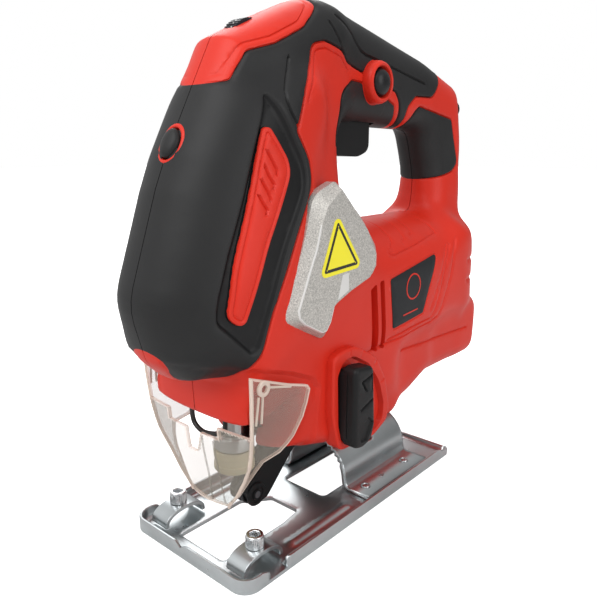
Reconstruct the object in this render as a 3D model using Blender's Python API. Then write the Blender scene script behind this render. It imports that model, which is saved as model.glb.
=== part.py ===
"""A corded jigsaw as an assembly of separate pieces.

Frame: +X is the operator's left, -Y is forward (the blade end), +Z is up.
The origin lies on the sole of the shoe, on its centre line, at the bar between
its two openings.  Every size below is in millimetres; mesh_object() turns them
into metres.

The casing is two moulded half shells that part on the plane X = 0.  A moulded
half has no undercut along X, so its outer face is a height x = half_width(y, z)
over the side outline, and every cover that lies on it uses the same function.
"""
import math

import bmesh
import bpy
import numpy as np
from mathutils import Matrix, Vector, geometry

MM = 0.001
GAP = 0.3            # clearance between pieces that touch
SEAM = 0.15          # half of the gap between the casing's two halves
WALL = 3.0           # casing wall
RIM = 3.4            # width of the flat rim where the halves meet
COVER = 1.2          # thickness of the soft grips
RECESS = COVER + GAP  # how far the casing steps down under a soft grip

# driving places and sizes
BLADE_Y = -39.0      # the plunger's axis
MOTOR_Z = 107.0      # the motor's axis, along Y
MODULE = 1.0
GEAR_TEETH = 48
PINION_TEETH = 8
GEAR_Z = MOTOR_Z + MODULE * (GEAR_TEETH + PINION_TEETH) / 2
GEAR_Y = (-20.0, -12.0)
CRANK = 10.0         # half of the stroke
SHOE_HALF = 39.2
SHOE_Y = (-70.5, 97.5)
SHEET = 2.2          # pressed steel thickness
ARCH_Z = 7.5         # the bevel axis, and the centre of the bracket's arch
ARCH_R = 20.0
KNOB = (2.0, 63.0)   # the pendulum knob's axis, (y, z)
LOCK = (44.0, 209.0)  # the lock-on button's axis, (y, z)
DIAL = (-26.6, 219.6)  # the speed dial's axis, (y, z)
FORK_PIVOT = (8.0, 48.0)
ROLLER = (-31.0, 18.0)
GUARD_PIVOT = (-54.0, 86.0)
CLAMP_X = 26.5
CLAMP_Y = -52.5

# side outline of the casing: (y, z, corner radius)
OUTLINE = [
    (-45.5, 222, 4.5), (-73, 171, 90), (-90.5, 121, 24), (-82, 97, 14), (-62, 89, 3),
    (-61, 68, 4.5), (-27, 67, 3), (-35, 45, 4.5), (2, 35.5, 12), (17, 29.3, 8),
    (63, 29.3, 4.5), (68, 35, 3.5), (76, 36, 5), (97, 44, 8), (158, 44, 12),
    (159, 86, 12), (149, 91, 4), (148, 143, 8), (148, 180, 30), (139, 213, 12),
    (100, 225, 60), (14, 243, 50), (-20, 234, 40),
]
# finger opening of the D handle
FINGERS = [(20, 190, 8), (98, 187.5, 9), (108, 160, 30), (105, 141.5, 6), (21, 141.5, 9)]

# half width and edge rounding of the casing: (y, z, half width, rounding, reach)
ZONES = [
    (-40, 215, 17, 12, 9), (-18, 226, 20, 16, 10), (2, 228, 20, 18, 10),
    (-50, 178, 28, 28, 12), (-22, 190, 29, 26, 12), (-60, 150, 32, 36, 12),
    (-30, 155, 32.5, 36, 14), (-66, 122, 34, 38, 12), (-35, 120, 34, 38, 14),
    (-70, 102, 33, 24, 7), (-52, 98, 34, 24, 8), (-50, 78, 31.5, 9, 9),
    (-25, 82, 32, 12, 10), (5, 165, 27, 15, 12), (12, 200, 20, 16, 8),
    (-2, 125, 33, 20, 12), (0, 90, 32, 16, 12), (0, 62, 32, 12, 12),
    (-22, 55, 31, 12, 8), (30, 60, 30, 14, 12), (40, 38, 25, 12, 8),
    (30, 110, 32, 30, 12), (70, 110, 32, 32, 14), (110, 110, 31, 30, 14),
    (140, 108, 30, 26, 8), (75, 60, 26, 18, 10), (110, 65, 24.5, 14, 9),
    (145, 67, 25, 13, 9), (40, 210, 15.5, 17, 14), (80, 206, 14.5, 16, 14),
    (122, 203, 14, 15, 12), (126, 175, 13.5, 15, 12), (128, 152, 16, 17, 8),
]
SHOULDER = 2.2       # exponent of the rounding; 2 is a quarter ellipse
SOFTNESS = 6.0       # exponent of the smooth distance

# covers on each side, as (y, z, corner radius); a soft grip may run past the outline
SOFT_GRIP = [
    (-110, 200, 0), (-50, 204.5, 3), (-41, 215, 4), (-28, 219.5, 8), (-11, 226.5, 10), (3, 235, 6), (10, 262, 0),
    (125, 240, 0), (110, 212, 5), (103, 204.5, 5), (86, 204, 4), (79, 196.6, 6), (71, 183, 0), (62, 182, 0),
    (66, 196, 4), (63, 204, 4), (46, 210, 3), (31, 215, 4), (20, 222, 6), (2, 222.5, 6), (-12, 213, 8),
    (-25, 188, 10), (-23, 176, 8), (-24, 165, 12), (-30, 149, 40), (-57, 94, 5), (-70, 85, 0), (-110, 85, 0),
]
TRIGGER_PAD = [(27, 208, 3), (19.5, 198, 6), (17, 180, 0), (57, 180, 0), (58, 190, 4), (60, 197, 3),
               (54, 203, 2), (45, 206, 3), (33, 206, 3)]
STRUT_PAD = [(80, 178, 0), (84, 195.7, 4), (89, 198.4, 3), (106, 197.5, 10), (128, 194, 4), (134.5, 167, 5),
             (123, 163.5, 6), (95, 161, 0)]
INLAY = [(-56, 189, 2.5), (-43, 178, 12), (-42, 162, 20), (-66, 113, 2.5), (-73, 122, 6), (-68, 146, 60)]
SIDE_PLATE = [(-12, 163, 5), (-5, 162, 3), (20, 133, 5), (19, 123, 4), (-8, 113, 3),
              (-17, 101, 4), (-40, 112, 3), (-29, 148, 12)]
BADGE_PLATE = [(39, 115, 1.5), (82, 121, 1.5), (70, 91, 1.5), (43, 88, 1.5)]
TRIANGLE = [(-12, 151, 2), (-21, 126, 2), (6, 128, 2)]


# ---------------------------------------------------------------- scene and objects

def clear_scene():
    for obj in list(bpy.data.objects):
        bpy.data.objects.remove(obj, do_unlink=True)


def material(name, color, rough, metal=0.0, clear=0.0):
    mat = bpy.data.materials.new(name)
    mat.use_nodes = True
    shader = mat.node_tree.nodes["Principled BSDF"]
    shader.inputs["Base Color"].default_value = (*color, 1.0)
    shader.inputs["Roughness"].default_value = rough
    shader.inputs["Metallic"].default_value = metal
    shader.inputs["Transmission Weight"].default_value = clear
    return mat


def make_materials():
    return {
        "red": material("red_casing", (0.62, 0.045, 0.025), 0.42),
        "black": material("black_soft_grip", (0.032, 0.034, 0.036), 0.75),
        "dark": material("dark_plastic", (0.022, 0.022, 0.024), 0.5),
        "silver": material("silver_paint", (0.50, 0.49, 0.48), 0.38, 0.6),
        "charcoal": material("charcoal_plate", (0.045, 0.045, 0.05), 0.5),
        "yellow": material("yellow_badge", (0.9, 0.72, 0.02), 0.45),
        "zinc": material("zinc_steel", (0.63, 0.66, 0.68), 0.28, 1.0),
        "steel": material("ground_steel", (0.5, 0.5, 0.5), 0.3, 1.0),
        "cast": material("cast_aluminium", (0.56, 0.57, 0.58), 0.5, 0.9),
        "iron": material("laminated_iron", (0.2, 0.2, 0.21), 0.5, 0.8),
        "copper": material("copper_winding", (0.62, 0.27, 0.12), 0.35, 0.9),
        "brass": material("brass", (0.68, 0.5, 0.2), 0.35, 0.9),
        "bronze": material("sintered_bronze", (0.5, 0.35, 0.17), 0.5, 0.9),
        "amber": material("amber_nylon", (0.7, 0.62, 0.4), 0.45),
        "clear": material("clear_guard", (0.86, 0.84, 0.82), 0.08, 0.0, 0.9),
    }


def mesh_object(name, verts, faces, mat, smooth=None):
    """One named object from points in millimetres."""
    mesh = bpy.data.meshes.new(name)
    mesh.from_pydata([tuple(MM * c for c in v) for v in verts], [], faces)
    mesh.validate()
    mesh.materials.append(mat)
    if smooth is not None:
        mesh.shade_smooth()
        mesh.set_sharp_from_angle(angle=math.radians(smooth))
    obj = bpy.data.objects.new(name, mesh)
    bpy.context.scene.collection.objects.link(obj)
    return obj


def combine(obj, other, operation):
    """Boolean with another object, which becomes a hidden guide."""
    other.hide_render = True
    other.display_type = "WIRE"
    mod = obj.modifiers.new(operation.lower(), "BOOLEAN")
    mod.operation = operation
    mod.solver = "EXACT"
    mod.object = other
    return obj


def cut(obj, *cutters):
    for cutter in cutters:
        combine(obj, cutter, "DIFFERENCE")
    return obj


def join(obj, *others):
    for other in others:
        combine(obj, other, "UNION")
    return obj


def set_pivot(obj, point):
    """Moves an object's origin to a point in millimetres without moving its shape."""
    offset = Vector(point) * MM
    obj.data.transform(Matrix.Translation(-offset))
    obj.location = offset
    return obj


# ---------------------------------------------------------------- plane outlines

def rounded(corners, step=24.0):
    """Closed outline through corners (a, b, radius), each turned by an arc."""
    points = []
    count = len(corners)
    for i, (a, b, radius) in enumerate(corners):
        if not radius:
            points.append((a, b))
            continue
        here = Vector((a, b))
        before = Vector(corners[i - 1][:2]) - here
        after = Vector(corners[(i + 1) % count][:2]) - here
        half = before.angle(after) / 2
        reach = min(radius / math.tan(half), 0.48 * before.length, 0.48 * after.length)
        radius = reach * math.tan(half)
        centre = here + (before.normalized() + after.normalized()).normalized() * (radius / math.sin(half))
        start = here + before.normalized() * reach - centre
        sweep = start.angle_signed(here + after.normalized() * reach - centre)
        parts = max(1, round(abs(math.degrees(sweep)) / step))
        for k in range(parts + 1):
            turn = -sweep * k / parts
            cos, sin = math.cos(turn), math.sin(turn)
            points.append((centre.x + start.x * cos - start.y * sin,
                           centre.y + start.x * sin + start.y * cos))
    return np.array(points)


def resample(points, spacing):
    """Adds points along a closed outline so that no side is longer than spacing."""
    result = []
    for start, end in zip(points, np.roll(points, -1, axis=0)):
        parts = max(1, math.ceil(np.linalg.norm(end - start) / spacing))
        result += [start + (end - start) * k / parts for k in range(parts)]
    return np.array(result)


def circle(centre, radius, sides, start=0.13):
    """Points round a circle; the first one lies off the axes, which keeps Booleans sound."""
    turns = start + np.arange(sides) * 2 * math.pi / sides
    return np.stack([centre[0] + radius * np.cos(turns), centre[1] + radius * np.sin(turns)], 1)


def signed_area(points):
    after = np.roll(points, -1, axis=0)
    return 0.5 * float(np.sum(points[:, 0] * after[:, 1] - after[:, 0] * points[:, 1]))


def inset(points, depth):
    """Outline moved inward by depth (outward where depth is negative)."""
    ahead = np.roll(points, -1, axis=0) - points
    ahead /= np.linalg.norm(ahead, axis=1)[:, None]
    side = np.stack([-ahead[:, 1], ahead[:, 0]], 1) * np.sign(signed_area(points))
    normal = side + np.roll(side, 1, axis=0)
    normal /= np.maximum(1e-9, np.sum(normal * side, axis=1))[:, None]
    return points + normal * depth


def inside(points, outline):
    """True for each point inside a closed outline."""
    result = np.zeros(len(points), bool)
    for (a0, b0), (a1, b1) in zip(outline, np.roll(outline, -1, axis=0)):
        crosses = (b0 > points[:, 1]) != (b1 > points[:, 1])
        if b1 != b0:
            reach = a0 + (points[:, 1] - b0) * (a1 - a0) / (b1 - b0)
            result ^= crosses & (points[:, 0] < reach)
    return result


def distance(points, outline):
    """Shortest distance from each point to a closed outline."""
    best = np.full(len(points), 1e9)
    for start, end in zip(outline, np.roll(outline, -1, axis=0)):
        run = end - start
        share = np.clip((points - start) @ run / max(1e-12, run @ run), 0, 1)
        best = np.minimum(best, np.linalg.norm(points - start - share[:, None] * run, axis=1))
    return best


# ---------------------------------------------------------------- the casing's outer face

class Casing:
    """Half width of the casing over its side outline."""

    def __init__(self):
        self.outline = resample(rounded(OUTLINE, 34), 11.0)
        self.fingers = resample(rounded(FINGERS, 34), 11.0)
        fine = [resample(loop, 1.5) for loop in (self.outline, self.fingers)]
        self.edge = np.concatenate(fine)
        self.weight = np.concatenate([np.linalg.norm(np.roll(f, -1, axis=0) - f, axis=1) for f in fine])
        share = math.gamma((SOFTNESS - 1) / 2) / math.gamma(SOFTNESS / 2)
        self.scale = (math.sqrt(math.pi) * share) ** (1 / (SOFTNESS - 1))

    def depth(self, points):
        """Smooth distance from the outline, without the creases of the shortest one."""
        apart = np.linalg.norm(points[:, None] - self.edge[None], axis=2)
        total = (self.weight / np.maximum(apart, 1e-6) ** SOFTNESS).sum(axis=1)
        smooth = self.scale * total ** (-1 / (SOFTNESS - 1))
        exact = np.minimum(distance(points, self.outline), distance(points, self.fingers))
        blend = np.clip((exact - 1.5) / 3, 0, 1)
        return exact * (1 - blend) + smooth * blend

    def half_width(self, points, sunk=0.0):
        """Outer face, or the face that lies sunk millimetres under it."""
        zones = np.array(ZONES, float)
        apart = ((points[:, None] - zones[None, :, :2]) ** 2).sum(axis=2)
        share = np.exp(-apart / (2 * zones[:, 4] ** 2)) + 1e-9 / (apart + 1)
        share /= share.sum(axis=1)[:, None]
        width = share @ zones[:, 2] - sunk
        rounding = share @ zones[:, 3] - sunk
        fall = 1 - np.clip((self.depth(points) - sunk) / rounding, 0, 1)
        return width * (1 - fall ** SHOULDER) ** (1 / SHOULDER)


# ---------------------------------------------------------------- solids over a plane

def triangulate(loops, spacing, clear):
    """Triangles over the outer loop (the first), following every loop; holes are left in."""
    points, edges = [], []
    for loop in loops:
        first = len(points)
        points += [tuple(p) for p in loop]
        edges += [(first + i, first + (i + 1) % len(loop)) for i in range(len(loop))]
    low, high = loops[0].min(axis=0), loops[0].max(axis=0)
    if spacing:
        rows = np.arange(low[1], high[1], spacing * 0.87)
        grid = np.array([(a + (r % 2) * spacing / 2, b) for r, b in enumerate(rows)
                         for a in np.arange(low[0], high[0], spacing)])
        grid = grid[inside(grid, loops[0])]
        nearest = np.min([distance(grid, loop) for loop in loops], axis=0)
        points += [tuple(p) for p in grid[nearest > clear]]
    flat = geometry.delaunay_2d_cdt([Vector(p) for p in points], edges, [], 0, 1e-5)
    verts = np.array([tuple(v) for v in flat[0]])
    faces = np.array([f for f in flat[2]])
    return verts, faces


def keep_inside(verts, faces, outer, holes=()):
    middle = verts[faces].mean(axis=1)
    mask = inside(middle, outer)
    for hole in holes:
        mask &= ~inside(middle, hole)
    return faces[mask]


def border(faces):
    """Directed edges that only one triangle uses."""
    used = {}
    for a, b, c in faces:
        for edge in ((a, b), (b, c), (c, a)):
            used[edge] = True
    return [edge for edge in used if (edge[1], edge[0]) not in used]


def chains(edges):
    """Closed loops of vertex numbers made by directed edges, the longest first."""
    following = {int(a): int(b) for a, b in edges}
    loops = []
    while following:
        start, here = following.popitem()
        loop = [start]
        while here != start:
            loop.append(here)
            here = following.pop(here)
        loops.append(loop)
    return sorted(loops, key=len, reverse=True)


def slab(name, verts, faces, high, low, mat, side=1, axis="X", smooth=35.0):
    """Closed solid between two heights over a triangulated region.

    verts are (y, z) for axis X and (x, y) for axis Z; side -1 mirrors across X = 0.
    """
    used = np.unique(faces)
    index = {int(v): i for i, v in enumerate(used)}
    count = len(used)

    def place(v, height):
        a, b = verts[v]
        return (side * height, a, b) if axis == "X" else (a, b, height)

    points = [place(v, high[v]) for v in used] + [place(v, low[v]) for v in used]
    result = []
    for a, b, c in faces:
        a, b, c = index[int(a)], index[int(b)], index[int(c)]
        result += [(a, b, c), (c + count, b + count, a + count)]
    for a, b in border(faces):
        a, b = index[int(a)], index[int(b)]
        result.append((b, a, a + count, b + count))
    if side < 0:
        result = [tuple(reversed(f)) for f in result]
    return mesh_object(name, points, result, mat, smooth)


def prism(name, outer, low, high, mat, axis="X", holes=(), smooth=35.0):
    """Straight extrusion of an outline, with holes; the outline is (y, z), (x, z) or (x, y)."""
    verts, faces = triangulate([np.array(outer), *[np.array(h) for h in holes]], None, 0)
    faces = keep_inside(verts, faces, np.array(outer), [np.array(h) for h in holes])
    count = len(verts)

    def place(point, height):
        a, b = point
        return {"X": (height, a, b), "Y": (a, height, b), "Z": (a, b, height)}[axis]

    points = [place(v, high) for v in verts] + [place(v, low) for v in verts]
    result = []
    for a, b, c in faces:
        result += [(int(a), int(b), int(c)), (int(c) + count, int(b) + count, int(a) + count)]
    for a, b in border(faces):
        result.append((int(b), int(a), int(a) + count, int(b) + count))
    if axis == "Y":
        result = [tuple(reversed(f)) for f in result]
    return mesh_object(name, points, result, mat, smooth)


def box(name, low, high, mat):
    outline = [(low[0], low[1]), (high[0], low[1]), (high[0], high[1]), (low[0], high[1])]
    return prism(name, outline, low[2], high[2], mat, "Z", smooth=None)


def tube(name, centre, outer, inner, low, high, mat, axis="Y", sides=24):
    """Round bar or ring; centre is in the plane across the axis."""
    holes = [circle(centre, inner, sides)] if inner else []
    return prism(name, circle(centre, outer, sides), low, high, mat, axis, holes)


def turned(name, profile, centre, mat, axis="Y", sides=20):
    """Solid of revolution; profile is (radius, place along the axis), closed on the axis."""
    points, result = [], []
    rings = []
    for radius, along in profile:
        if radius == 0:
            rings.append([len(points)])
            points.append((0.0, 0.0, along))
        else:
            rings.append(list(range(len(points), len(points) + sides)))
            turns = [2 * math.pi * k / sides for k in range(sides)]
            points += [(radius * math.cos(t), radius * math.sin(t), along) for t in turns]
    for lower, upper in zip(rings, rings[1:]):
        for k in range(sides):
            n = (k + 1) % sides
            if len(lower) == 1:
                result.append((lower[0], upper[n], upper[k]))
            elif len(upper) == 1:
                result.append((lower[k], lower[n], upper[0]))
            else:
                result.append((lower[k], lower[n], upper[n], upper[k]))
    if axis == "Y":
        points = [(centre[0] + a, along, centre[1] + b) for a, b, along in points]
        result = [tuple(reversed(f)) for f in result]
    elif axis == "X":
        points = [(along, centre[0] + a, centre[1] + b) for a, b, along in points]
    else:
        points = [(centre[0] + a, centre[1] + b, along) for a, b, along in points]
    return mesh_object(name, points, result, mat, 40)


# ---------------------------------------------------------------- casing and its covers

SOFT = {"soft_grip": SOFT_GRIP, "trigger_pad": TRIGGER_PAD, "strut_pad": STRUT_PAD}
PLATES = {"inlay": INLAY, "side_plate": SIDE_PLATE, "badge_plate": BADGE_PLATE, "triangle_badge": TRIANGLE}


def cover_loops(table):
    return {name: resample(rounded(loop, 36), 14.0) for name, loop in table.items()}


def casing_cutters(mats):
    """Openings through the casing where pieces pass; both halves share the shapes."""
    guide = mats["dark"]
    return [
        lambda n: box(n + "_plunger", (-11.6, -52.8, 28), (11.6, -24, 78), guide),
        lambda n: box(n + "_wire", (-15.4, -57.4, 60), (15.4, -49.0, 86), guide),
        lambda n: box(n + "_fork", (-7.2, -36, 20), (7.2, 20, 50), guide),
        lambda n: box(n + "_trigger", (-7.6, 22.4, 178), (7.6, 55.6, 206), guide),
        lambda n: prism(n + "_button", circle((0, 0), 1, 16) * (5.9, 7.3), -90, -50, guide, "Y"),
        lambda n: box(n + "_dial", (-4.4, -38.6, 207.6), (4.4, -14.6, 245), guide),
        lambda n: tube(n + "_bolt", (0, 48), 3.0, 0, 20, 36, guide, "Z", 16),
        lambda n: tube(n + "_dust", (0, 67), 15.0, 0, 130, 170, guide, "Y", 24),
        lambda n: tube(n + "_gland", (0, 0), 7.2, 0, -20, 20, guide, "Y", 20),
    ]


GLAND_PLACE = (0.0, 142.0, 199.0)
GLAND_TILT = math.radians(18)
BUTTON_PLACE = (-66.7, 180.5)
BUTTON_TILT = math.radians(26)


def aim_cutter(cutter):
    """Tilts the cutters that leave the casing at an angle."""
    name = cutter.name.rsplit("_", 1)[1]
    if name == "button":
        cutter.location = Vector((0, BUTTON_PLACE[0], BUTTON_PLACE[1])) * MM
        cutter.rotation_euler = (-BUTTON_TILT, 0, 0)
        cutter.data.transform(Matrix.Translation((0, 0.07, 0)))
    if name == "gland":
        cutter.location = Vector(GLAND_PLACE) * MM
        cutter.rotation_euler = (GLAND_TILT, 0, 0)
    return cutter


def make_half(side, suffix, casing, mats):
    """One casing half with its soft grips and plates."""
    soft, plates = cover_loops(SOFT), cover_loops(PLATES)
    trimmed = {name: inset(loop, GAP) for name, loop in soft.items()}
    ledges = [inset(casing.outline, RECESS), inset(casing.fingers, -RECESS)]
    rims = [inset(casing.outline, RIM), inset(casing.fingers, -RIM)]
    loops = [casing.outline, casing.fingers, *ledges, *rims, *soft.values(), *trimmed.values(), *plates.values()]
    verts, faces = triangulate(loops, 17.0, 6.0)
    faces = keep_inside(verts, faces, casing.outline, [casing.fingers])
    middle = verts[faces].mean(axis=1)
    under = np.any([inside(middle, loop) for loop in soft.values()], axis=0)
    deep = inside(middle, ledges[0]) & ~inside(middle, ledges[1])
    core = inside(middle, rims[0]) & ~inside(middle, rims[1])
    heights = [np.maximum(casing.half_width(verts, sunk), SEAM + 0.35) for sunk in (0.0, RECESS)]
    shell = hollow_half("housing_" + suffix, casing, verts, heights, faces[~under], faces[under & deep],
                        faces[core], mats["red"], side)
    cutters = {}
    for make in casing_cutters(mats):
        cutter = make("guide_" + suffix)
        cutters[cutter.name.rsplit("_", 1)[1]] = cutter
        cut(shell, aim_cutter(cutter))
    made = {}
    top = heights[0]
    under_grip = np.maximum(casing.half_width(verts, COVER), SEAM)
    for name, loop in trimmed.items():
        made[name] = slab(f"{name}_{suffix}", verts, keep_inside(verts, faces, loop), top, under_grip,
                          mats["black"], side)
    cut(made["soft_grip"], cutters["button"])
    cut(made["trigger_pad"], cutters["trigger"])
    layers = {"side_plate": (GAP, 3.2, "silver"), "inlay": (GAP, 1.2, "red")}
    if side > 0:
        layers["badge_plate"] = (GAP, 1.2, "charcoal")
        layers["triangle_badge"] = (3.5, 3.9, "yellow")
    for name, (low, high, mat) in layers.items():
        region = keep_inside(verts, faces, plates[name])
        made[name] = slab(f"{name}_{suffix}", verts, region, top + high, top + low, mats[mat], side)
    return shell, made


def hollow_half(name, casing, verts, heights, full, sunken, core, mat, side):
    """Hollow shell: full and sunken faces outside, a rim on the seam plane, a wall behind.

    A vertex v is numbered v on the full face, v + count on the sunken one and
    v + 2 * count on the seam plane; the lining's vertices come after them.
    """
    count = len(verts)
    edges = border(core)
    around = [verts[chain] for chain in chains(edges)]
    lining, lining_faces = triangulate(around, 20.0, 7.0)
    lining_faces = keep_inside(lining, lining_faces, around[0], around[1:])
    inner = np.maximum(casing.half_width(lining, WALL), SEAM + 0.2)
    lining_of = {tuple(np.round(p, 3)): 3 * count + v for v, p in enumerate(lining)}
    points = [(side * x, *p) for level in (*heights, np.full(count, SEAM)) for x, p in zip(level, verts)]
    points += [(side * x, *p) for x, p in zip(inner, lining)]
    result = [tuple(int(v) for v in f) for f in full]
    result += [tuple(int(v) + count for v in f) for f in sunken]
    in_core = {tuple(f) for f in core}
    result += [tuple(int(v) + 2 * count for v in reversed(f))
               for f in (*full, *sunken) if tuple(f) not in in_core]
    result += [tuple(3 * count + int(v) for v in reversed(f)) for f in lining_faces]
    result += side_walls(border(full), border(sunken), set(np.unique(sunken)), count)
    for a, b in edges:
        inner_a, inner_b = (lining_of[tuple(np.round(verts[v], 3))] for v in (a, b))
        result.append((int(a) + 2 * count, inner_a, inner_b, int(b) + 2 * count))
    if side < 0:
        result = [tuple(reversed(f)) for f in result]
    shell = mesh_object(name, points, result, mat, 35)
    drop_loose(shell.data)
    return shell


def side_walls(full, sunken, in_sunken, count):
    """Walls between the full face, the sunken face and the seam plane."""
    result = []
    stepped = {(b, a) for a, b in sunken}
    for a, b in full:
        a, b = int(a), int(b)
        if (a, b) in stepped:
            result.append((b, a, a + count, b + count))
            continue
        down = [a + count] if a in in_sunken else []
        up = [b + count] if b in in_sunken else []
        result.append((b, a, *down, a + 2 * count, b + 2 * count, *up))
    outer = {(int(b), int(a)) for a, b in full}
    result += [(int(b) + count, int(a) + count, int(a) + 2 * count, int(b) + 2 * count)
               for a, b in sunken if (int(a), int(b)) not in outer]
    return result


def drop_loose(mesh):
    bm = bmesh.new()
    bm.from_mesh(mesh)
    bmesh.ops.delete(bm, geom=[v for v in bm.verts if not v.link_faces], context="VERTS")
    bm.to_mesh(mesh)
    bm.free()


def make_housing(mats):
    casing = Casing()
    left, left_covers = make_half(1, "left", casing, mats)
    right, right_covers = make_half(-1, "right", casing, mats)
    knob_surround(left, mats)
    lock_collar(left, left_covers, mats)
    screw_wells(right, right_covers, mats)


def knob_surround(shell, mats):
    """Raised D-shaped rim round the pendulum knob, and the hole for its shaft."""
    y, z = KNOB
    outer = rounded([(y - 13.5, z + 17, 9), (y - 2, z + 29, 12), (y + 26, z + 20, 20),
                     (y + 33, z - 10, 20), (y + 22, z - 25, 12), (y - 13.5, z - 22, 6)], 20)
    rim = prism("guide_knob_rim", outer, 28.5, 36.6, mats["red"], "X", [inset(outer, 3.2)])
    join(shell, rim)
    cut(shell, tube("guide_knob_hole", KNOB, 4.5, 0, 20, 50, mats["dark"], "X", 16))


def lock_collar(shell, covers, mats):
    """Protruding collar round the lock-on button; the soft grips are cut back round it."""
    collar = tube("guide_lock_collar", LOCK, 10.0, 0, 11.0, 20.5, mats["red"], "X", 20)
    join(shell, collar)
    hole = tube("guide_lock_hole", LOCK, 7.0, 0, 5, 50, mats["dark"], "X", 20)
    cut(shell, hole)
    for name in ("soft_grip", "trigger_pad"):
        cut(covers[name], tube(f"guide_lock_relief_{name}", LOCK, 10.4, 0, 5, 50, mats["dark"], "X", 20))


SCREWS = [(-10, 75, 30.0), (120, 76, 22.0), (126, 150, 12.5), (6, 232, 14.0)]


def screw_wells(shell, covers, mats):
    """Holes for the casing screws, which are driven from the operator's right."""
    for i, (y, z, head_x) in enumerate(SCREWS):
        for target in [shell, covers["soft_grip"]] if i == 3 else [shell]:
            well = tube(f"guide_well_{i}_{target.name}", (y, z), 4.0, 0, -60, 0.5 - head_x, mats["dark"], "X", 12)
            cut(target, well)
            hole = tube(f"guide_hole_{i}_{target.name}", (y, z), 2.4, 0, -60, 5, mats["dark"], "X", 12)
            cut(target, hole)
        profile = [(0, -head_x - 2.5), (3.6, -head_x - 2.5), (3.6, -head_x), (1.8, -head_x),
                   (1.8, head_x - 9), (0, head_x - 7)]
        turned(f"housing_screw_{i + 1}", profile, (y, z), mats["steel"], "X", 12)


# ---------------------------------------------------------------- controls

def make_controls(mats):
    trigger = prism("trigger", rounded([(25, 201, 2), (53, 201, 2), (53, 177, 5), (44, 174, 12), (25, 175, 3)]),
                    -6.6, 6.6, mats["black"], "X")
    set_pivot(trigger, (0, 39, 190))
    box("switch_body", (-7.5, 25, 207), (7.5, 58, 218), mats["dark"])
    button = turned("lock_button", [(0, 10.5), (6.4, 10.5), (6.4, 20.2), (4.6, 22), (0, 22.6)], LOCK,
                    mats["black"], "X", 20)
    set_pivot(button, (16, *LOCK))
    front_button(mats)
    dial = turned("speed_dial", [(0, -3.6), (10.1, -3.6), (10.8, -2.6), (10.8, 2.6), (10.1, 3.6), (0, 3.6)],
                  DIAL, mats["dark"], "X", 24)
    set_pivot(dial, (0, *DIAL))
    box("light_module", (-9, -67, 151), (9, -53, 164), mats["dark"])
    gland(mats)


def front_button(mats):
    """Oval push button in the nose, which moves square to the sloping front."""
    outline = circle((0, 0), 1, 20) * (4.8, 6.1)
    button = prism("front_button", outline, -3.2, 6.0, mats["black"], "Y")
    button.rotation_euler = (-BUTTON_TILT, 0, 0)
    button.location = Vector((0, *BUTTON_PLACE)) * MM


def gland(mats):
    """Socket for the power cord at the top of the rear strut."""
    profile = [(0, -9), (6.9, -9), (6.9, -6.0), (5.8, -6.0), (5.8, 7.5), (4.6, 8.5), (4.0, 8.5), (4.0, 0), (0, 0)]
    piece = turned("cord_gland", profile, (0, 0), mats["black"], "Y", 20)
    piece.rotation_euler = (GLAND_TILT, 0, 0)
    piece.location = Vector(GLAND_PLACE) * MM


# ---------------------------------------------------------------- motor

def gear_outline(teeth, centre, phase):
    """Straight-flanked gear teeth with running clearance, four points a tooth."""
    pitch = MODULE * teeth / 2
    root, tip = pitch - 1.15 * MODULE, pitch + 0.80 * MODULE
    at_pitch = 0.42 * math.pi * MODULE / 2 / pitch
    flank = 0.36
    points = []
    for k in range(teeth):
        middle = phase + 2 * math.pi * k / teeth
        low = at_pitch + flank * (pitch - root) / root
        high = at_pitch - flank * (tip - pitch) / tip
        for radius, turn in ((root, -low), (tip, -high), (tip, high), (root, low)):
            points.append((centre[0] + radius * math.cos(middle + turn),
                           centre[1] + radius * math.sin(middle + turn)))
    return np.array(points)


def make_motor(mats):
    axis = (0.0, MOTOR_Z)
    shaft = turned("armature_shaft", [(0, -22), (2.6, -22), (2.6, -10), (3.9, -9), (3.9, 118), (0, 118)],
                   axis, mats["steel"], "Y", 16)
    upward = math.pi / 2
    teeth = prism("guide_pinion", gear_outline(PINION_TEETH, axis, upward), -21.5, -10.5, mats["steel"], "Y")
    join(shaft, teeth)
    set_pivot(shaft, (0, 0, MOTOR_Z))
    core_profile = [(4.2, 37), (11.5, 37), (14.6, 41), (14.6, 80), (11.5, 85), (4.2, 85), (4.2, 37)]
    spun_ring("armature_core", core_profile, axis, mats["copper"], 24)
    tube("commutator", axis, 11.0, 4.2, 87, 100, mats["copper"], "Y", 24)
    fan(axis, mats)
    tube("front_bearing", axis, 10.7, 4.2, -8.6, -2.0, mats["steel"], "Y", 24)
    tube("rear_bearing", axis, 9.5, 4.2, 108, 115, mats["steel"], "Y", 24)
    stator(axis, mats)
    for side, name in ((1, "left"), (-1, "right")):
        xs = sorted((side * 11.6, side * 24.0))
        box(f"brush_holder_{name}", (xs[0], 89, MOTOR_Z - 5), (xs[1], 98, MOTOR_Z + 5), mats["brass"])


def spun_ring(name, profile, centre, mat, sides):
    """Ring from a closed (radius, along Y) profile."""
    profile = profile[:-1]
    count = len(profile)
    points, result = [], []
    for k in range(sides):
        turn = 2 * math.pi * k / sides
        for radius, along in profile:
            points.append((centre[0] + radius * math.cos(turn), along, centre[1] + radius * math.sin(turn)))
    for k in range(sides):
        for i in range(count):
            j = (i + 1) % count
            n = (k + 1) % sides
            result.append((k * count + i, n * count + i, n * count + j, k * count + j)[::-1])
    return mesh_object(name, points, result, mat, 40)


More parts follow.
